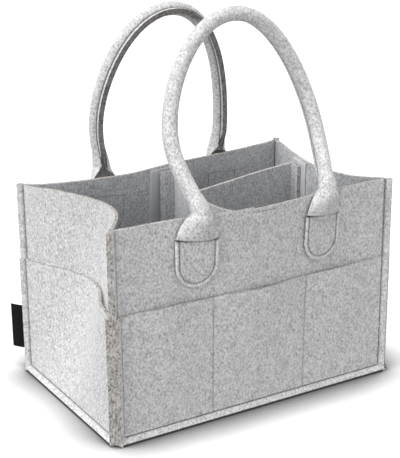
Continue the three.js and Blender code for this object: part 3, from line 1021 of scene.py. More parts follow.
@dataclass
class Base:
    """The felt base, which sags from its sewn rim down to the floor."""

    width: float = 360.0
    depth: float = 230.0
    sag_run: float = 34.0
    seam: Seam = field(default_factory=Seam)

    def way(self, x: Array, y: Array) -> Array:
        """Way from the nearest raw edge."""
        return np.minimum(self.width / 2 - np.abs(x), self.depth / 2 - np.abs(y))

    def height(self, x: Array, y: Array) -> Array:
        """Height of the middle surface: the seam's rim, eased down to half the felt's thickness."""
        way = self.way(x, y)
        rim = self.seam.rim_height + self.seam.inset(way) - self.seam.shift
        share = smooth((way - self.seam.run) / self.sag_run)
        return rim + (self.seam.felt / 2 - rim) * share

    def point(self, x: Array, y: Array, off: Array | float) -> Array:
        """Points moved off the middle surface along its normal, upwards where the way is
        positive."""
        step = 0.5
        slope_x = (self.height(x + step, y) - self.height(x - step, y)) / (2 * step)
        slope_y = (self.height(x, y + step) - self.height(x, y - step)) / (2 * step)
        size = off / np.sqrt(1.0 + slope_x**2 + slope_y**2)
        return np.stack([x - slope_x * size, y - slope_y * size, self.height(x, y) + size], axis=-1)

    @property
    def trim(self) -> float:
        """Way from the seam's raw edge to where the base is trimmed to clear the floor."""
        lowest = self.seam.off_floor + self.seam.felt / 2 * math.sqrt(0.5)
        return lowest + self.seam.shift - self.seam.rim_height

    def side_stops(self, length: float) -> Array:
        """Places across the base, closer in the seams and the sag."""
        tip, plain = length / 2 - self.trim, length / 2 - self.seam.run
        flat = plain - self.sag_run
        return stops((-tip, -plain, 0.9), (-plain, -flat, 2.4), (-flat, flat, 6.0),
                     (flat, plain, 2.4),
                     (plain, tip, 0.9))

    def build(self) -> None:
        """Make and dress the base, and sew its rim from below."""
        x, y = np.meshgrid(self.side_stops(self.width), self.side_stops(self.depth))
        half = self.seam.felt / 2
        base = slab("base_panel_felt", self.point(x, y, -half), self.point(x, y, half))
        # The base's inner face takes the darker inside copy of the felt: painted shade.
        dress(base, "caddy", "felt_panel", OUTER_FELT, CUT_FELT, SHADED_INNER_FELT, HIGHLIT_ARRIS_FELT)
        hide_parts("base_panel")
        self.build_thread()

    def build_thread(self) -> None:
        """Sew along the four sides of the underside."""
        inset = self.trim + 1.2
        across, deep = self.width / 2 - inset, self.depth / 2 - inset
        rows = []
        for sign in (-1.0, 1.0):
            wide, short = np.linspace(-across, across, 120), np.linspace(-deep, deep, 80)
            rows.append(self.under_row(wide, np.full_like(wide, sign * deep)))
            rows.append(self.under_row(np.full_like(short, sign * across), short))
        STITCHING.sew("base_seam_thread", rows, "caddy", "felt_panel")

    def under_row(self, x: Array, y: Array) -> Row:
        """A stitch row on the underside."""
        face = -self.seam.felt / 2 + 0.6
        points = self.point(x, y, face)
        return points, unit(self.point(x, y, face - 1.0) - points)


# Handles

@dataclass(frozen=True)
class HandleLine:
    """Where a handle's middle runs, from the hinge of a leg: out to the side, in over the caddy and
    up.

    The shoulder's slope is its way to the side and its way inwards for each millimetre up.
    """

    shoulder: tuple[float, float, float]
    slope: tuple[float, float]
    crown: tuple[float, float]
    neck_rise: float = 18.0
    shoulder_drop: float = 30.0
    shoulder_rise: float = 45.0
    crown_spread: float = 57.0

    def leg(self, foot: float) -> Array:
        """Half of the line: one Bezier curve from the hinge to the shoulder and one on to the
        crown.

        Args:
            foot: the hinge's way from the middle of the wall.

        Returns:
            Points half a millimetre apart, each with its way to the side, inwards and up.
        """
        share = np.linspace(0.0, 1.0, 300)
        start, shoulder = np.array([foot, 0.0, 0.0]), np.array([foot, 0.0, 0.0]) + self.shoulder
        slope, crown = np.array([*self.slope, 1.0]), np.array([0.0, *self.crown])
        neck = bezier((start, start + (0.0, 0.0, self.neck_rise),
                       shoulder - self.shoulder_drop * slope, shoulder),
                      share)
        arm = bezier((shoulder, shoulder + self.shoulder_rise * slope,
                      crown + (self.crown_spread, 0.0, 0.0), crown),
                     share)
        return evenly(np.concatenate([neck, arm[1:]]), 0.5)


@dataclass
class Handle:
    """One felt strip, rolled round a cord and opened at both ends into a tab sewn flat on the
    wall."""

    wall: Wall
    line: HandleLine
    hinge_height: float = 238.0
    leg_spacing: float = 160.0
    clearance: float = 0.4
    radius: float = 8.0
    core_radius: float = 3.8
    half_width: float = 25.0
    tab_bottom: float = 159.0
    crease: float = 212.0
    crease_tilt: float = -0.08
    crease_depth: float = 3.2
    crease_spread: float = 0.9
    tab_seat: float = 0.9
    neck: float = 29.0
    closed: float = 2.86
    ridge: float = 7.1
    ridge_start: float = 0.0
    ridge_taper: float = 26.0
    stitch_inset: float = 4.6
    groove: float = 1.3
    groove_spread: float = 0.9
    rim_round: float = 2.2
    rim_drop: float = 1.5
    # Painted tone: a highlight on the tab's rim, shade in the U groove, the crease and the ridge's
    # flank.
    rim_light: float = 0.14
    line_dark: float = 0.35
    crease_dark: float = 0.8
    flank_dark: float = 0.85
    pitch: float = 1.8
    join_start: float = -14.0
    join_run: float = 26.0
    blend_heights: tuple[float, float] = (214.0, 256.0)

    @property
    def word(self) -> str:
        """The handle's name in piece names."""
        return self.wall.side.word

    @property
    def body(self) -> str:
        """The body that the handle's roll rides on."""
        return f"{self.word}_handle"

    @property
    def felt(self) -> float:
        """Thickness of the strip."""
        return self.wall.seam.felt

    @property
    def facing(self) -> float:
        """Sign of the wall's outward direction along Y."""
        return self.wall.side.value[1][1]

    @property
    def hinge(self) -> Array:
        """Middle of the hinge line by the top of the wall."""
        joint = next(joint for joint in frame["joints"] if joint["child"] == self.body)
        return np.array(joint["pos_m"]) / MM

    @property
    def outward(self) -> Array:
        """Direction out of the caddy, square to the line from the hinge to the crown."""
        inward, up = self.line.crown
        return unit(np.array([0.0, self.facing * up, inward]))

    def leg(self, sign: float) -> Array:
        """Half of the handle's middle line, from the hinge line to the crown."""
        side, inward, up = self.line.leg(self.leg_spacing / 2).T
        return self.hinge + np.stack([sign * side, -self.facing * inward, up], axis=-1)

    def leg_frame(self, sign: float, ways: Array) -> tuple[Array, Array, Array]:
        """Places on one leg and the directions across it there.

        Args:
            sign: -1 for the left leg, 1 for the right.
            ways: lengths along the leg from the hinge line; below 0 the leg runs on straight.

        Returns:
            The places, the direction across the strip, and the direction out of the caddy.
        """
        line = self.leg(sign)
        lengths, tangent = run_lengths(line), unit(np.gradient(line, axis=0))
        along = unit(np.stack([np.interp(ways, lengths, column) for column in tangent.T], axis=-1))
        middle = along_line(line, np.maximum(ways, 0.0)) + np.minimum(ways, 0.0)[:, None] * along
        out = unit(self.outward - (along @ self.outward)[:, None] * along)
        return middle, -self.facing * np.cross(along, out), out

    def ways(self, sign: float) -> Array:
        """Lengths along one leg from the tab's round end to the crown, below 0 under the hinge
        line."""
        end = run_lengths(self.leg(sign))[-1]
        angles = np.linspace(0.12, math.pi / 2, 30)
        round_end = self.tab_bottom + self.half_width * (1.0 - np.cos(angles)) - self.hinge_height
        crease = self.crease - self.hinge_height
        rest = stops((round_end[-1], crease - 4.0, self.pitch), (crease - 4.0, crease + 6.0, 0.5),
                     (crease + 6.0, 14.0, 0.9), (14.0, end, self.pitch))
        return np.concatenate([round_end[:-1], rest])

    @property
    def shares(self) -> Array:
        """Places across the strip from -1 to 1, closer near its edges."""
        return stops((-1.0, -0.74, 0.018), (-0.74, 0.74, 0.045), (0.74, 1.0, 0.018))

    def above_crease(self, ways: Array, across: Array) -> Array:
        """How far places on the strip lie above the crease, which runs a little askew."""
        return ways - (self.crease - self.hinge_height) - self.crease_tilt * across

    def below_round(self, ways: Array) -> Array:
        """How far places on the tab lie below the middle of its round end."""
        return np.maximum(self.tab_bottom + self.half_width - self.hinge_height - ways, 0.0)

    def pulled(self, ways: Array, across: Array) -> Array:
        """How far the tab's outer face is pulled down by its thread and rounded at its rim.

        The thread pulls a bump-shaped groove along the U and along the crease. The rim drops as a
        quarter circle. Both fade out above the crease.

        Args:
            ways: lengths along the leg, as a column.
            across: ways across the strip.

        Returns:
            The depth for each place.
        """
        inside = self.half_width - np.hypot(across, self.below_round(ways))
        above = self.above_crease(ways, across)
        rim = np.clip(1.0 - inside / self.rim_round, 0.0, 1.0)
        edge = self.rim_drop * (1.0 - np.sqrt(1.0 - rim**2))
        line = self.groove * bell(inside - self.stitch_inset, self.groove_spread)
        fold = self.crease_depth * bell(above, self.crease_spread)
        return np.maximum(np.maximum(edge, line) * (1.0 - smooth(above / 5.0)), fold)

    def tab_nap(self, ways: Array, across: Array) -> Array:
        """Painted highlight on the tab's rim, and painted shade along its stitched U and in the
        crease under the bell.

        Args:
            ways: lengths along the leg, as a column.
            across: ways across the strip.

        Returns:
            The painted tone for each place.
        """
        inside = self.half_width - np.hypot(across, self.below_round(ways))
        above = self.above_crease(ways, across)
        rim = self.rim_light * (1.0 - smooth((inside - self.stitch_inset + 1.6) / 1.2))
        line = self.line_dark * bell(inside - self.stitch_inset, self.groove_spread)
        fold = self.crease_dark * bell(above, self.crease_spread)
        return (rim - line) * (1.0 - smooth(above / 3.0)) - fold

    def section(self, ways: Array, shares: Array) -> tuple[Array, Array, Array, Array]:
        """The strip's section: flat on the tab, an opening arc in the bell, a closed roll with a
        ridge above.

        The arc's half angle starts at the crease with a quick puff and grows with the height to the
        closed roll. The rest of the strip's half width, past the arc, stands in as the ridge.

        Args:
            ways: lengths along the leg, as a column.
            shares: places across the strip from -1 to 1, as a row.

        Returns:
            Depth off the tab's plane, way across, half the felt's thickness, and way up the ridge.
        """
        half = np.sqrt(np.maximum(self.half_width**2 - self.below_round(ways) ** 2, 0.0))
        across = shares * half
        climb = np.maximum(self.above_crease(ways, across), 0.0) / self.neck
        puff = 0.22 * (1.0 - np.exp(-climb / 0.04)) * (1.0 - smooth(climb))
        angle = self.closed * np.clip(puff + np.minimum(climb, 1.0) ** 1.3, 1e-3, 1.0)
        ridge = self.ridge * smooth((ways - self.ridge_start) / self.ridge_taper)
        arc = half - ridge
        bend = angle / arc
        on_arc = np.clip(across, -arc, arc)
        past = np.abs(across) - np.abs(on_arc)
        depth = (np.cos(bend * on_arc) - np.cos(angle)) / bend - past
        thick = self.felt / 2 - 0.25 * smooth(past / 1.0)
        return depth, np.sin(bend * on_arc) / bend, thick, past

    def half_strip(self, sign: float) -> tuple[Array, Array, Array, Array]:
        """Middle surface of the strip from one tab to the crown, the way to its two faces, and its
        painted tone.

        The wall's own surface carries the tab, the handle's line carries the roll, and between them
        the two are mixed with an ease.

        Args:
            sign: -1 for the left leg, 1 for the right.

        Returns:
            A grid of points, grids of the way out to the outer face and in to the inner face, and
            the nap's tone.
        """
        ways = self.ways(sign)
        depth, across, thick, past = self.section(ways[:, None], self.shares[None, :])
        foot = sign * self.leg_spacing / 2
        seat = self.felt / 2 + self.tab_seat + self.felt / 2
        height = np.broadcast_to(self.hinge_height + ways[:, None], depth.shape)
        outward = np.array(self.wall.side.value[1])
        on_wall = self.wall.point(foot + across, np.minimum(height, self.wall.height), seat)
        on_wall = on_wall + np.maximum(height - self.wall.height, 0.0)[..., None] * UP
        on_wall = on_wall + depth[..., None] * outward
        middle, side, out = self.leg_frame(sign, ways)
        axis = self.clearance + self.radius - self.tab_seat - self.felt / 2
        on_leg = (middle[:, None] + across[..., None] * side[:, None]
                  + (depth - axis)[..., None] * out[:, None])
        mix = smooth((ways - self.join_start) / self.join_run)[:, None, None]
        # Painted shade along the ridge's flank.
        flank = self.flank_dark * smooth(past / 0.8) * (1.0 - smooth((past - 3.0) / 1.5))
        faces = thick - self.pulled(ways[:, None], across), thick
        nap = self.tab_nap(ways[:, None], across) - flank
        return on_wall + (on_leg - on_wall) * mix, *faces, nap

    def build(self) -> None:
        """Make the strip, its core and its thread."""
        halves = zip(self.half_strip(-1.0), self.half_strip(1.0))
        middle, above, below, nap = (np.concatenate([left, right[-2::-1, ::-1]])
                                     for left, right in halves)
        normals = grid_normals(middle)
        crown = normals[len(middle) // 2, middle.shape[1] // 2]
        normals = normals * np.sign(np.dot(crown, self.outward))
        # The nap carries the strip's painted shade and highlight.
        strip = slab(f"{self.word}_handle_felt", middle + normals * above[..., None],
                     middle - normals * below[..., None], nap=nap)
        # The ridge's cut edges take the darker copy of the cut felt: painted shade.
        for finish in (OUTER_FELT, SHADED_RIDGE_FELT, OUTER_FELT, HIGHLIT_ARRIS_FELT):
            strip.data.materials.append(finish.material())
        low, high = self.hinge * MM, self.hinge * MM
        low[2], high[2] = (height * MM for height in self.blend_heights)
        self.body
        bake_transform(strip)
        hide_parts(f"{self.word}_handle_sleeve", f"{self.word}_left_tab",
                    f"{self.word}_right_tab")
        f"{self.word}_panel_felt"
        self.build_core()
        self.build_tab_thread()
        self.build_ridge_thread(middle, normals, below)

    def build_core(self) -> None:
        """Make the filler cord: three lobes that turn once in 30 mm round the arch."""
        ways = np.linspace(0.0, run_lengths(self.leg(1.0))[-1], 110)
        (left, left_side, left_out), (right, right_side, right_out) = (
            self.leg_frame(sign, ways) for sign in (-1.0, 1.0))
        middle = np.concatenate([left, right[-2::-1]])
        side = np.concatenate([left_side, -right_side[-2::-1]])
        out = np.concatenate([left_out, right_out[-2::-1]])
        angle = np.linspace(0.0, 2.0 * math.pi, 18, endpoint=False)[None, :]
        turn = run_lengths(middle)[:, None] * 2.0 * math.pi / 30.0
        radius = self.core_radius * (0.88 + 0.12 * np.cos(3.0 * angle + turn))
        ring = np.cos(angle)[..., None] * side[:, None] + np.sin(angle)[..., None] * out[:, None]
        core = tubes(f"{self.word}_handle_cord", (middle[:, None] + radius[..., None] * ring)[None])
        dress(core, self.body, "handle_core", COTTON)
        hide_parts(f"{self.word}_handle_core")

    def tab_line(self) -> tuple[Array, Array]:
        """The U of thread on a tab: down one side, round the end and up the other side."""
        half = self.half_width - self.stitch_inset
        middle = self.tab_bottom + self.half_width
        angle = np.linspace(math.pi, 2.0 * math.pi, 40)
        side = np.linspace(self.crease, middle, 20)
        along = np.concatenate([np.full(20, -half), half * np.cos(angle), np.full(20, half)])
        return along, np.concatenate([side, middle + half * np.sin(angle), side[::-1]])

    def build_tab_thread(self) -> None:
        """Sew both tabs to the wall, with the U and the crease, and show the same rows inside the
        wall."""
        face = self.felt / 2 + self.tab_seat + self.felt
        along, up = self.tab_line()
        crease = np.linspace(-self.half_width + 2.0, self.half_width - 2.0, 30)
        rows = []
        for foot in (-self.leg_spacing / 2, self.leg_spacing / 2):
            for off, inside in ((face - self.groove, False), (-self.felt / 2, True)):
                rows.append(self.wall.row(foot + along, up, off, inside))
                rows.append(self.wall.row(foot + crease, self.crease + self.crease_tilt * crease,
                                          off, inside))
        STITCHING.sew(f"{self.word}_tab_thread", rows, "caddy", "felt_handle")

    def build_ridge_thread(self, middle: Array, normals: Array, thick: Array) -> None:
        """Sew through the ridge: a row on each flank, half way up it.

        Args:
            middle: the strip's middle surface.
            normals: its normals.
            thick: half its thickness.
        """
        rows = []
        ends = int(np.argmax(middle[:, middle.shape[1] // 2, 2] > self.hinge_height
                             + self.ridge_taper))
        span = slice(ends, len(middle) - ends)
        inset = int(np.searchsorted(self.shares, -1.0 + 0.5 * self.ridge / self.half_width))
        for column in (inset, middle.shape[1] - 1 - inset):
            normal = normals[span, column]
            rows.append((middle[span, column] + normal * thick[span, column, None], normal))
        STITCHING.sew(f"{self.word}_ridge_thread", rows, self.body, "felt_handle")


# Dividers and fastener tapes

@dataclass
class StandingStrip:
    """A strip that stands on edge along a plan path."""

    path: Array
    thickness: float
    bottom: float
    top: float
    sway: float = 0.0
    pitch: float = 2.0

    def surface(self, off: float, rows: int) -> Array:
        """Points beside the path at a given way to its right, with a slight sway near the top.

        The sway is a sine along the path times the square of the height's share, and is nothing at
        the path's ends.

        Args:
            off: way to the right of the path.
            rows: how many rows of points the strip has.

        Returns:
            A grid of points, with a row for each height.
        """
        line = evenly(self.path, self.pitch)
        along = unit(np.gradient(line, axis=0))
        right = np.stack([along[:, 1], -along[:, 0]], axis=-1)
        share = np.linspace(0.0, 1.0, rows)[:, None]
        length = np.linspace(0.0, 1.0, len(line))[None, :]
        swayed = off + self.sway * np.sin(2.0 * math.pi * length) * share**2
        plan = line[None] + swayed[..., None] * right[None]
        up = np.broadcast_to(self.bottom + (self.top - self.bottom) * share, swayed.shape)
        return np.concatenate([plan, up[..., None]], axis=-1)

    def build(self, name: str) -> Piece:
        """Make the strip, with its length and height as the UV map."""
        rows = max(4, math.ceil((self.top - self.bottom) / 4.0))
        outer = self.surface(self.thickness / 2, rows)
        inner = self.surface(-self.thickness / 2, rows)
        length = np.broadcast_to(np.arange(outer.shape[1]) * self.pitch, outer.shape[:2])
        return slab(name, outer, inner, np.stack([length, outer[..., 2]], axis=-1))

    def row(self, way: float, off: float, bottom: float, top: float) -> Row:
        """A vertical stitch row at a length along the path, on one side of it."""
        line = evenly(self.path, self.pitch)
        along = unit(np.gradient(line, axis=0))
        spot = along_line(line, np.array([way]))[0]
        tangent = along[min(len(along) - 1, int(way / self.pitch))]
        right = np.array([tangent[1], -tangent[0]])
        height = np.linspace(bottom, top, 40)
        plan = spot + off * right
        points = np.stack([np.full(40, plan[0]), np.full(40, plan[1]), height], axis=-1)
        normal = math.copysign(1.0, off) * np.array([right[0], right[1], 0.0])
        return points, np.broadcast_to(normal, points.shape)


def towards(start: Array, end: Array, way: float) -> Array:
    """The point a given way from the start towards the end."""
    return start + unit(end - start) * way


def beside(path: Array, off: float) -> Array:
    """A plan path moved to the right of its direction."""
    along = unit(np.gradient(path, axis=0))
    return path + off * np.stack([along[:, 1], -along[:, 0]], axis=-1)


@dataclass
class Dividers:
    """The cross divider and the long divider, with the tapes that hold them to the walls and
    together."""

    walls: dict[Side, Wall]
    bottom: float = 6.2
    top: float = 229.0
    flange: float = 20.0
    fold: float = 4.0
    cross_back_x: float = 5.0
    cross_front_x: float = -20.0
    near_pull: tuple[float, float] = (-35.0, 15.0)
    far_pull: tuple[float, float] = (-38.0, 4.0)
    joint: float = 0.375
    joint_run: float = 0.1
    long_right_y: float = 26.0
    long_sag: float = 4.0
    felt: float = FELT
    gap: float = LAYER_GAP
    tape: float = 1.2
    tape_width: float = 37.0
    hook_width: float = 15.0
    tape_bottom: float = 40.0
    tape_below: float = 8.0
    wall_tape_below: float = 2.0
    tape_reveal: float = 11.0

    def __post_init__(self) -> None:
        """Work out the plan of both dividers."""
        self.stack = 3 * self.gap + 2 * self.tape
        low, high = (np.array(corner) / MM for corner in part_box("cross_divider"))
        back, front = high[1] - self.felt / 2, low[1] + self.felt / 2
        fold = np.array([self.cross_back_x, back])
        near = np.array([self.near_pull[0], (back + front) / 2 + self.near_pull[1]])
        far = np.array([self.far_pull[0], front + self.far_pull[1]])
        self.back_flange = np.array([[self.cross_back_x - self.flange, back],
                                     [self.cross_back_x - self.fold, back]])
        self.front_flange = np.array([[self.cross_front_x, front],
                                      [self.cross_front_x + self.flange, front]])
        self.curve = (towards(fold, near, self.fold), near, far, self.front_flange[0])
        share = np.linspace(0.0, 1.0, 60)
        turn = bezier((self.back_flange[1], fold, self.curve[0]), share)
        self.cross_path = np.concatenate([self.back_flange[:1], turn, bezier(self.curve, share)[1:],
                                          self.front_flange[1:]])
        self.joint_line = bezier(self.curve,
                                 np.linspace(self.joint - self.joint_run, self.joint, 20))
        self.plan_long()

    def plan_long(self) -> None:
        """Work out the long divider's plan: a flange on the cross divider, the span, a flange on
        the wall."""
        start = beside(self.joint_line, -(self.felt + self.stack))
        end = self.right_spot(self.long_right_y)
        self.right_end = self.right_spot(self.long_right_y - self.flange)
        leave = towards(start[-1], end, self.fold)
        middle = (leave + end) / 2 + np.array([0.0, self.long_sag])
        self.fold_in = towards(end, middle, self.fold)
        self.fold_out = towards(end, self.right_end, self.fold)
        share = np.linspace(0.0, 1.0, 40)
        self.long_path = np.concatenate([
            start[:-4], bezier((start[-5], start[-1], leave), share)[1:],
            bezier((leave, middle, self.fold_in), share)[1:],
            bezier((self.fold_in, end, self.fold_out), share)[1:], self.right_end[None]])

    def right_spot(self, along: float) -> Array:
        """Plan place of the long divider's flange by the innermost place of the right wall."""
        wall = self.walls[Side.RIGHT]
        heights = np.linspace(wall.seam.foot, wall.height, 60)
        out = wall.out(np.full_like(heights, along), heights).min()
        return np.array([out - self.felt - self.stack, along])

    def build(self) -> None:
        """Make both dividers and all tapes."""
        self.build_divider("cross", self.cross_path, -1.6)
        self.build_divider("long", self.long_path, 1.2)
        self.build_wall_tapes()
        self.build_hook_tapes()

    def build_divider(self, word: str, path: Array, sway: float) -> None:
        """Make one divider and its thread.

        Args:
            word: "cross" or "long".
            path: its plan.
            sway: how far its free top sways from the plan.
        """
        strip = StandingStrip(path, self.felt, self.bottom, self.top, sway)
        divider = strip.build(f"{word}_divider_felt")
        # Both faces of a divider take the darker inside copy of the felt: painted shade.
        dress(divider, f"{word}_divider", "felt_divider", SHADED_INNER_FELT, CUT_FELT, SHADED_INNER_FELT,
              HIGHLIT_ARRIS_FELT)
        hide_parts(f"{word}_divider")
        length = run_lengths(evenly(path, strip.pitch))[-1]
        half = self.felt / 2
        rows = [strip.row(way, off, self.tape_bottom, self.top - self.tape_below)
                for way in (3.0, self.hook_width, length - self.hook_width, length - 3.0)
                for off in (-half, half)]
        STITCHING.sew(f"{word}_divider_thread", rows, f"{word}_divider", "felt_divider",
                      PALE_THREAD)

    def build_wall_tapes(self) -> None:
        """Make the loop tapes on the inner faces of the back, right and front walls."""
        starts = {
            Side.BACK: self.cross_back_x - self.flange - self.tape_reveal,
            Side.RIGHT: self.long_right_y - self.flange - self.tape_reveal,
            Side.FRONT: self.cross_front_x,
        }
        near = -self.felt / 2 - self.gap
        for side, start in starts.items():
            wall = self.walls[side]
            top = wall.height - self.wall_tape_below
            along, up = np.meshgrid(np.linspace(start, start + self.tape_width, 14),
                                    np.linspace(self.tape_bottom, top, 60))
            tape = slab(f"{side.word}_loop_tape_felt", wall.point(along, up, near),
                        wall.point(along, up, near - self.tape), np.stack([along, up], axis=-1))
            self.dress_tape(tape, "caddy", f"{side.word}_loop_tape", LOOP_TAPE)
            self.sew_wall_tape(wall, start, near - self.tape, top)

    def sew_wall_tape(self, wall: Wall, start: float, face: float, top: float) -> None:
        """Sew a loop tape down both edges and across its top, through to the wall's outer face.

        Args:
            wall: the wall.
            start: where the tape starts along it.
            face: way of the tape's face off the wall's middle surface.
            top: the tape's top.
        """
        up = np.linspace(self.tape_bottom + 2.0, top - 2.0, 60)
        edges = (start + 2.0, start + self.tape_width - 2.0)
        across = np.linspace(*edges, 20)
        rows = [wall.row(edge, up, face, inside=True) for edge in edges]
        rows.append(wall.row(across, top - 2.0, face, inside=True))
        STITCHING.sew(f"{wall.side.word}_tape_thread", rows, "caddy", "fastener_tape", PALE_THREAD)
        shown = [wall.row(across, top - 1.5, wall.seam.felt / 2)]
        STITCHING.sew(f"{wall.side.word}_tape_outer_thread", shown, "caddy", "felt_panel")

    def build_hook_tapes(self) -> None:
        """Make the hook tapes on the dividers' flanges and the pair of tapes where the dividers
        meet."""
        off = self.felt / 2 + self.gap + self.tape / 2
        hook_off = off + self.tape + self.gap
        joint = self.joint_line
        tapes = (
            ("cross_back_hook_tape", "cross_divider", self.flange_line(*self.back_flange, -off),
             HOOK_TAPE),
            ("cross_front_hook_tape", "cross_divider", self.flange_line(*self.front_flange, off),
             HOOK_TAPE),
            ("long_right_hook_tape", "long_divider",
             self.flange_line(self.fold_out, self.right_end, -off), HOOK_TAPE),
            ("cross_joint_loop_tape", "cross_divider", beside(joint, -off), LOOP_TAPE),
            ("long_joint_hook_tape", "long_divider", beside(joint[:-6], -hook_off), HOOK_TAPE),
        )
        for node, body, path, finish in tapes:
            strip = StandingStrip(path, self.tape, self.tape_bottom, self.top - self.tape_below)
            self.dress_tape(strip.build(f"{node}_nap"), body, node, finish)

    def flange_line(self, start: Array, end: Array, off: float) -> Array:
        """Plan of a hook tape in the middle of a flange, on one side of it."""
        margin = (np.linalg.norm(end - start) - self.hook_width) / 2
        ends = np.stack([towards(start, end, margin), towards(end, start, margin)])
        return beside(ends, off)

    def dress_tape(self, tape: Piece, body: str, node: str, finish: Finish) -> None:
        """Args:
            tape: the piece.
            body: the body that it rides on.
            node: the node that it replaces.
            finish: its nap.
        """
        dress(tape, body, "fastener_tape", *[finish] * len(Face))
        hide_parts(node)


@dataclass
class SideTag:
    """A bare folded ribbon in the back left seam."""

    corner: tuple[float, float] = (-180.0, 115.0)
    reach: float = 18.0
    height: float = 54.0
    bottom: float = 27.0
    layer: float = 0.6
    spread: float = 1.0
    curl: float = 3.0
    gap: float = 0.3

    def build(self) -> None:
        """Make the ribbon: out along one side, round its fold and back, curled by the square of the
        way out."""
        outward = np.array([-1.0, 1.0]) * math.sqrt(0.5)
        across = np.array([1.0, 1.0]) * math.sqrt(0.5)
        fold = self.spread / 2
        straight = np.linspace(0.0, self.reach - fold, 24)
        angle = np.linspace(-math.pi / 2, math.pi / 2, 9)[1:-1]
        way = np.concatenate([straight, straight[-1] + fold * np.cos(angle), straight[::-1]])
        off = np.concatenate([np.full(24, -fold), fold * np.sin(angle), np.full(24, fold)])
        off = off + self.curl * (way / self.reach) ** 2
        path = np.array(self.corner) + (self.gap + way)[:, None] * outward + off[:, None] * across
        ribbon = StandingStrip(path, self.layer, self.bottom, self.bottom + self.height,
                               pitch=0.5).build("side_tag_ribbon")
        dress(ribbon, "caddy", "woven_tag", *[RIBBON] * len(Face))
        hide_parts("side_tag")


# Caddy and studio

@dataclass
class Caddy:
    """The whole caddy."""

    width: float = 360.0
    depth: float = 230.0

    def build(self) -> None:
        """Build and dress every sub-assembly in order."""
        walls = {
            Side.FRONT: Wall(Side.FRONT, self.width, self.depth / 2, FrontBulge(), RowsGape(),
                             POCKET_ROWS),
            Side.BACK: Wall(Side.BACK, self.width, self.depth / 2, BackBow(), RowsGape(),
                            POCKET_ROWS, sink=Sink(full=-60.0, none=20.0)),
            Side.LEFT: Wall(Side.LEFT, self.depth, self.width / 2, SideBow(37.0, 0.7, 1.7),
                            CornerGape(),
                            sink=Sink(full=115.0, none=45.0)),
            Side.RIGHT: Wall(Side.RIGHT, self.depth, self.width / 2, SideBow(34.0, 0.65, 1.1),
                             CornerGape()),
        }
        front_line = HandleLine(shoulder=(10.5, 32.5, 59.5), slope=(0.08, 0.55),
                                crown=(62.5, 192.5))
        back_line = HandleLine(shoulder=(4.5, -2.5, 56.5), slope=(-0.04, 0.05), crown=(25.5, 182.5))
        parts = [*walls.values(), Base(self.width, self.depth),
                 Handle(walls[Side.FRONT], front_line),
                 Handle(walls[Side.BACK], back_line), Dividers(walls), SideTag()]
        for part in parts:
            part.build()
            LOG.info("built %s", type(part).__name__)


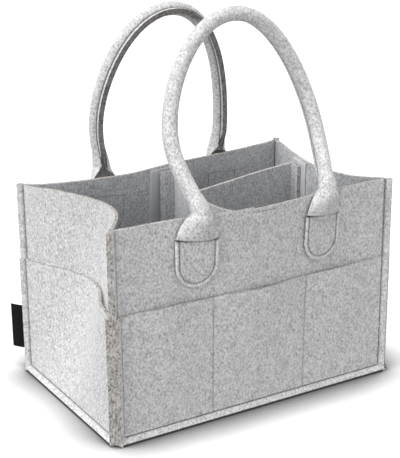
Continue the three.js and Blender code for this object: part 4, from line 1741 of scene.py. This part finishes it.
@dataclass(frozen=True)
class Studio:
    """Pale floor, soft surround, two lamps and the camera at the photograph's angle."""

    floor_size: float = 14.0
    floor_points: int = 5
    floor_drop: float = 0.2
    floor_albedo: float = 0.42
    floor_seen: float = 1.06
    # The floor's painted contact shadow: its reach, its depth, and the occlusion where it is full
    # and where it ends.
    shade_reach: float = 80.0
    shade_depth: float = 0.86
    shade_full: float = 0.5
    shade_none: float = 0.98
    side_span: tuple[float, float] = (0.2, -0.9)
    top_span: tuple[float, float] = (0.1, 1.0)
    top_light: float = 0.32
    left_light: float = 0.54
    front_light: float = 0.5
    far_light: float = 0.2
    overhead_light: float = 2.0
    overhead_softness: float = 22.0
    overhead_from: tuple[float, float, float] = (-0.1, -0.01, 1.0)
    key_light: float = 1.0
    key_softness: float = 28.0
    key_from: tuple[float, float, float] = (-0.95, -0.08, 0.35)
    camera_place: tuple[float, float, float] = (-0.6773, -1.1120, 0.6083)
    azimuth: float = 31.12
    elevation: float = 18.36
    roll: float = -0.53
    focal_pixels: float = 1189.0
    long_side_pixels: float = 458.0

    def build(self) -> None:
        """Set up the camera, the surround, both lamps and the floor."""
        self.build_camera()
        self.build_surround()
        self.build_lamp("overhead", self.overhead_light, self.overhead_softness, self.overhead_from)
        self.build_lamp("key", self.key_light, self.key_softness, self.key_from)
        self.build_floor()
        bpy.context.scene.view_settings.view_transform = "Standard"

    def build_camera(self) -> None:
        """Place the camera by its azimuth, its tilt down and a small roll."""
        turn, tilt, roll = (math.radians(angle)
                            for angle in (self.azimuth, self.elevation, self.roll))
        ahead = Vector((math.sin(turn) * math.cos(tilt), math.cos(turn) * math.cos(tilt),
                        -math.sin(tilt)))
        level = Vector((math.cos(turn), -math.sin(turn), 0.0))
        above = level.cross(ahead)
        right = level * math.cos(roll) + above * math.sin(roll)
        above = right.cross(ahead)
        data = bpy.data.cameras.new("camera")
        data.lens = self.focal_pixels / self.long_side_pixels * data.sensor_width
        camera = bpy.data.objects.new("camera", data)
        axes = Matrix((right, above, -ahead)).transposed().to_4x4()
        camera.matrix_world = Matrix.Translation(self.camera_place) @ axes
        bpy.context.scene.collection.objects.link(camera)
        bpy.context.scene.camera = camera

    def looked_at(self, tree: bpy.types.NodeTree) -> bpy.types.NodeSocket:
        """A socket that is 1 where the camera looks, also by a mirror or through glass, and else
        0."""
        rays = add_node(tree, "ShaderNodeLightPath", {}).outputs
        through = add_node(tree, "ShaderNodeMath",
                           {0: rays["Is Glossy Ray"], 1: rays["Is Transmission Ray"]},
                           operation="MAXIMUM")
        return add_node(tree, "ShaderNodeMath", {0: rays["Is Camera Ray"], 1: through.outputs[0]},
                        operation="MAXIMUM").outputs[0]

    def ramp(self, tree: bpy.types.NodeTree, value: bpy.types.NodeSocket,
             span: tuple[float, float], lights: tuple[float, float]) -> bpy.types.NodeSocket:
        """A socket that eases from the first light to the second as the value crosses the span."""
        inputs = {"Value": value, "From Min": span[0], "From Max": span[1],
                  "To Min": lights[0], "To Max": lights[1]}
        return add_node(tree, "ShaderNodeMapRange", inputs,
                        interpolation_type="SMOOTHSTEP").outputs[0]

    def build_surround(self) -> None:
        """Light from all round, strongest from the left, and plain white where the camera looks
        past the floor."""
        world = bpy.data.worlds.new("soft_surround")
        bpy.context.scene.world = world
        world.use_nodes = True
        tree = world.node_tree
        tree.nodes.clear()
        way = add_node(tree, "ShaderNodeTexCoord", {}).outputs["Generated"]
        parts = add_node(tree, "ShaderNodeSeparateXYZ", {0: way}).outputs
        left = self.ramp(tree, parts["X"], self.side_span, (0.0, self.left_light))
        front = self.ramp(tree, parts["Y"], self.side_span, (0.0, self.front_light))
        top = self.ramp(tree, parts["Z"], self.top_span, (self.far_light, self.top_light))
        sides = add_node(tree, "ShaderNodeMath", {0: left, 1: front}, operation="ADD")
        light = add_node(tree, "ShaderNodeMath", {0: sides.outputs[0], 1: top}, operation="ADD")
        lit, white = (add_node(tree, "ShaderNodeBackground", {"Color": WHITE, "Strength": strength})
                      for strength in (light.outputs[0], 1.0))
        mixed = add_node(tree, "ShaderNodeMixShader",
                         {0: self.looked_at(tree), 1: lit.outputs[0], 2: white.outputs[0]})
        add_node(tree, "ShaderNodeOutputWorld", {"Surface": mixed.outputs[0]})

    def build_lamp(self, name: str, energy: float, softness: float,
                   direction: Sequence[float]) -> None:
        """Hang a wide soft lamp.

        Args:
            name: the lamp's name.
            energy: its strength.
            softness: how wide it looks from the caddy, in degrees.
            direction: where it hangs, seen from the caddy.
        """
        data = bpy.data.lights.new(name, "SUN")
        data.energy = energy
        data.angle = math.radians(softness)
        lamp = bpy.data.objects.new(name, data)
        lamp.rotation_euler = Vector(direction).to_track_quat("Z", "Y").to_euler()
        bpy.context.scene.collection.objects.link(lamp)

    def build_floor(self) -> None:
        """Lay the pale floor, which shows white where the light reaches it, keeps the lamps' shadow
        of the caddy, and shows the camera a painted contact shadow near the caddy."""
        half = self.floor_size / MM / 2
        side = np.linspace(-half, half, self.floor_points)
        x, y = np.meshgrid(side, side)
        grid = np.stack([x, y, np.full_like(x, -self.floor_drop)], axis=-1).reshape(-1, 3)
        floor = add_piece("floor", grid, grid_cells(np.arange(x.size).reshape(x.shape)))
        paint = bpy.data.materials.new("matt_white_paper")
        paint.use_nodes = True
        tree = paint.node_tree
        tree.nodes.clear()
        # Painted contact shadow: ambient occlusion darkens the floor's colour near the caddy, as
        # the camera sees it.
        open_sky = add_node(tree, "ShaderNodeAmbientOcclusion", {"Distance": self.shade_reach * MM})
        seen_with_painted_shadow = add_node(tree, "ShaderNodeMapRange",
                        {"Value": open_sky.outputs["AO"],
                         "From Min": self.shade_full, "From Max": self.shade_none,
                         "To Min": self.floor_seen * (1.0 - self.shade_depth),
                         "To Max": self.floor_seen})
        shaded = add_node(tree, "ShaderNodeMapRange",
                          {"Value": self.looked_at(tree), "To Min": self.floor_albedo,
                           "To Max": seen_with_painted_shadow.outputs[0]})
        matt = add_node(tree, "ShaderNodeBsdfDiffuse", {"Color": shaded.outputs[0]})
        add_node(tree, "ShaderNodeOutputMaterial", {"Surface": matt.outputs[0]})
        floor.data.materials.append(paint)


def main() -> None:
    logging.basicConfig(level=logging.INFO, format="%(name)s: %(message)s")
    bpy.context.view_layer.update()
    Studio().build()
    Caddy().build()
    bpy.context.view_layer.update()


if __name__ == "__main__":
    main()
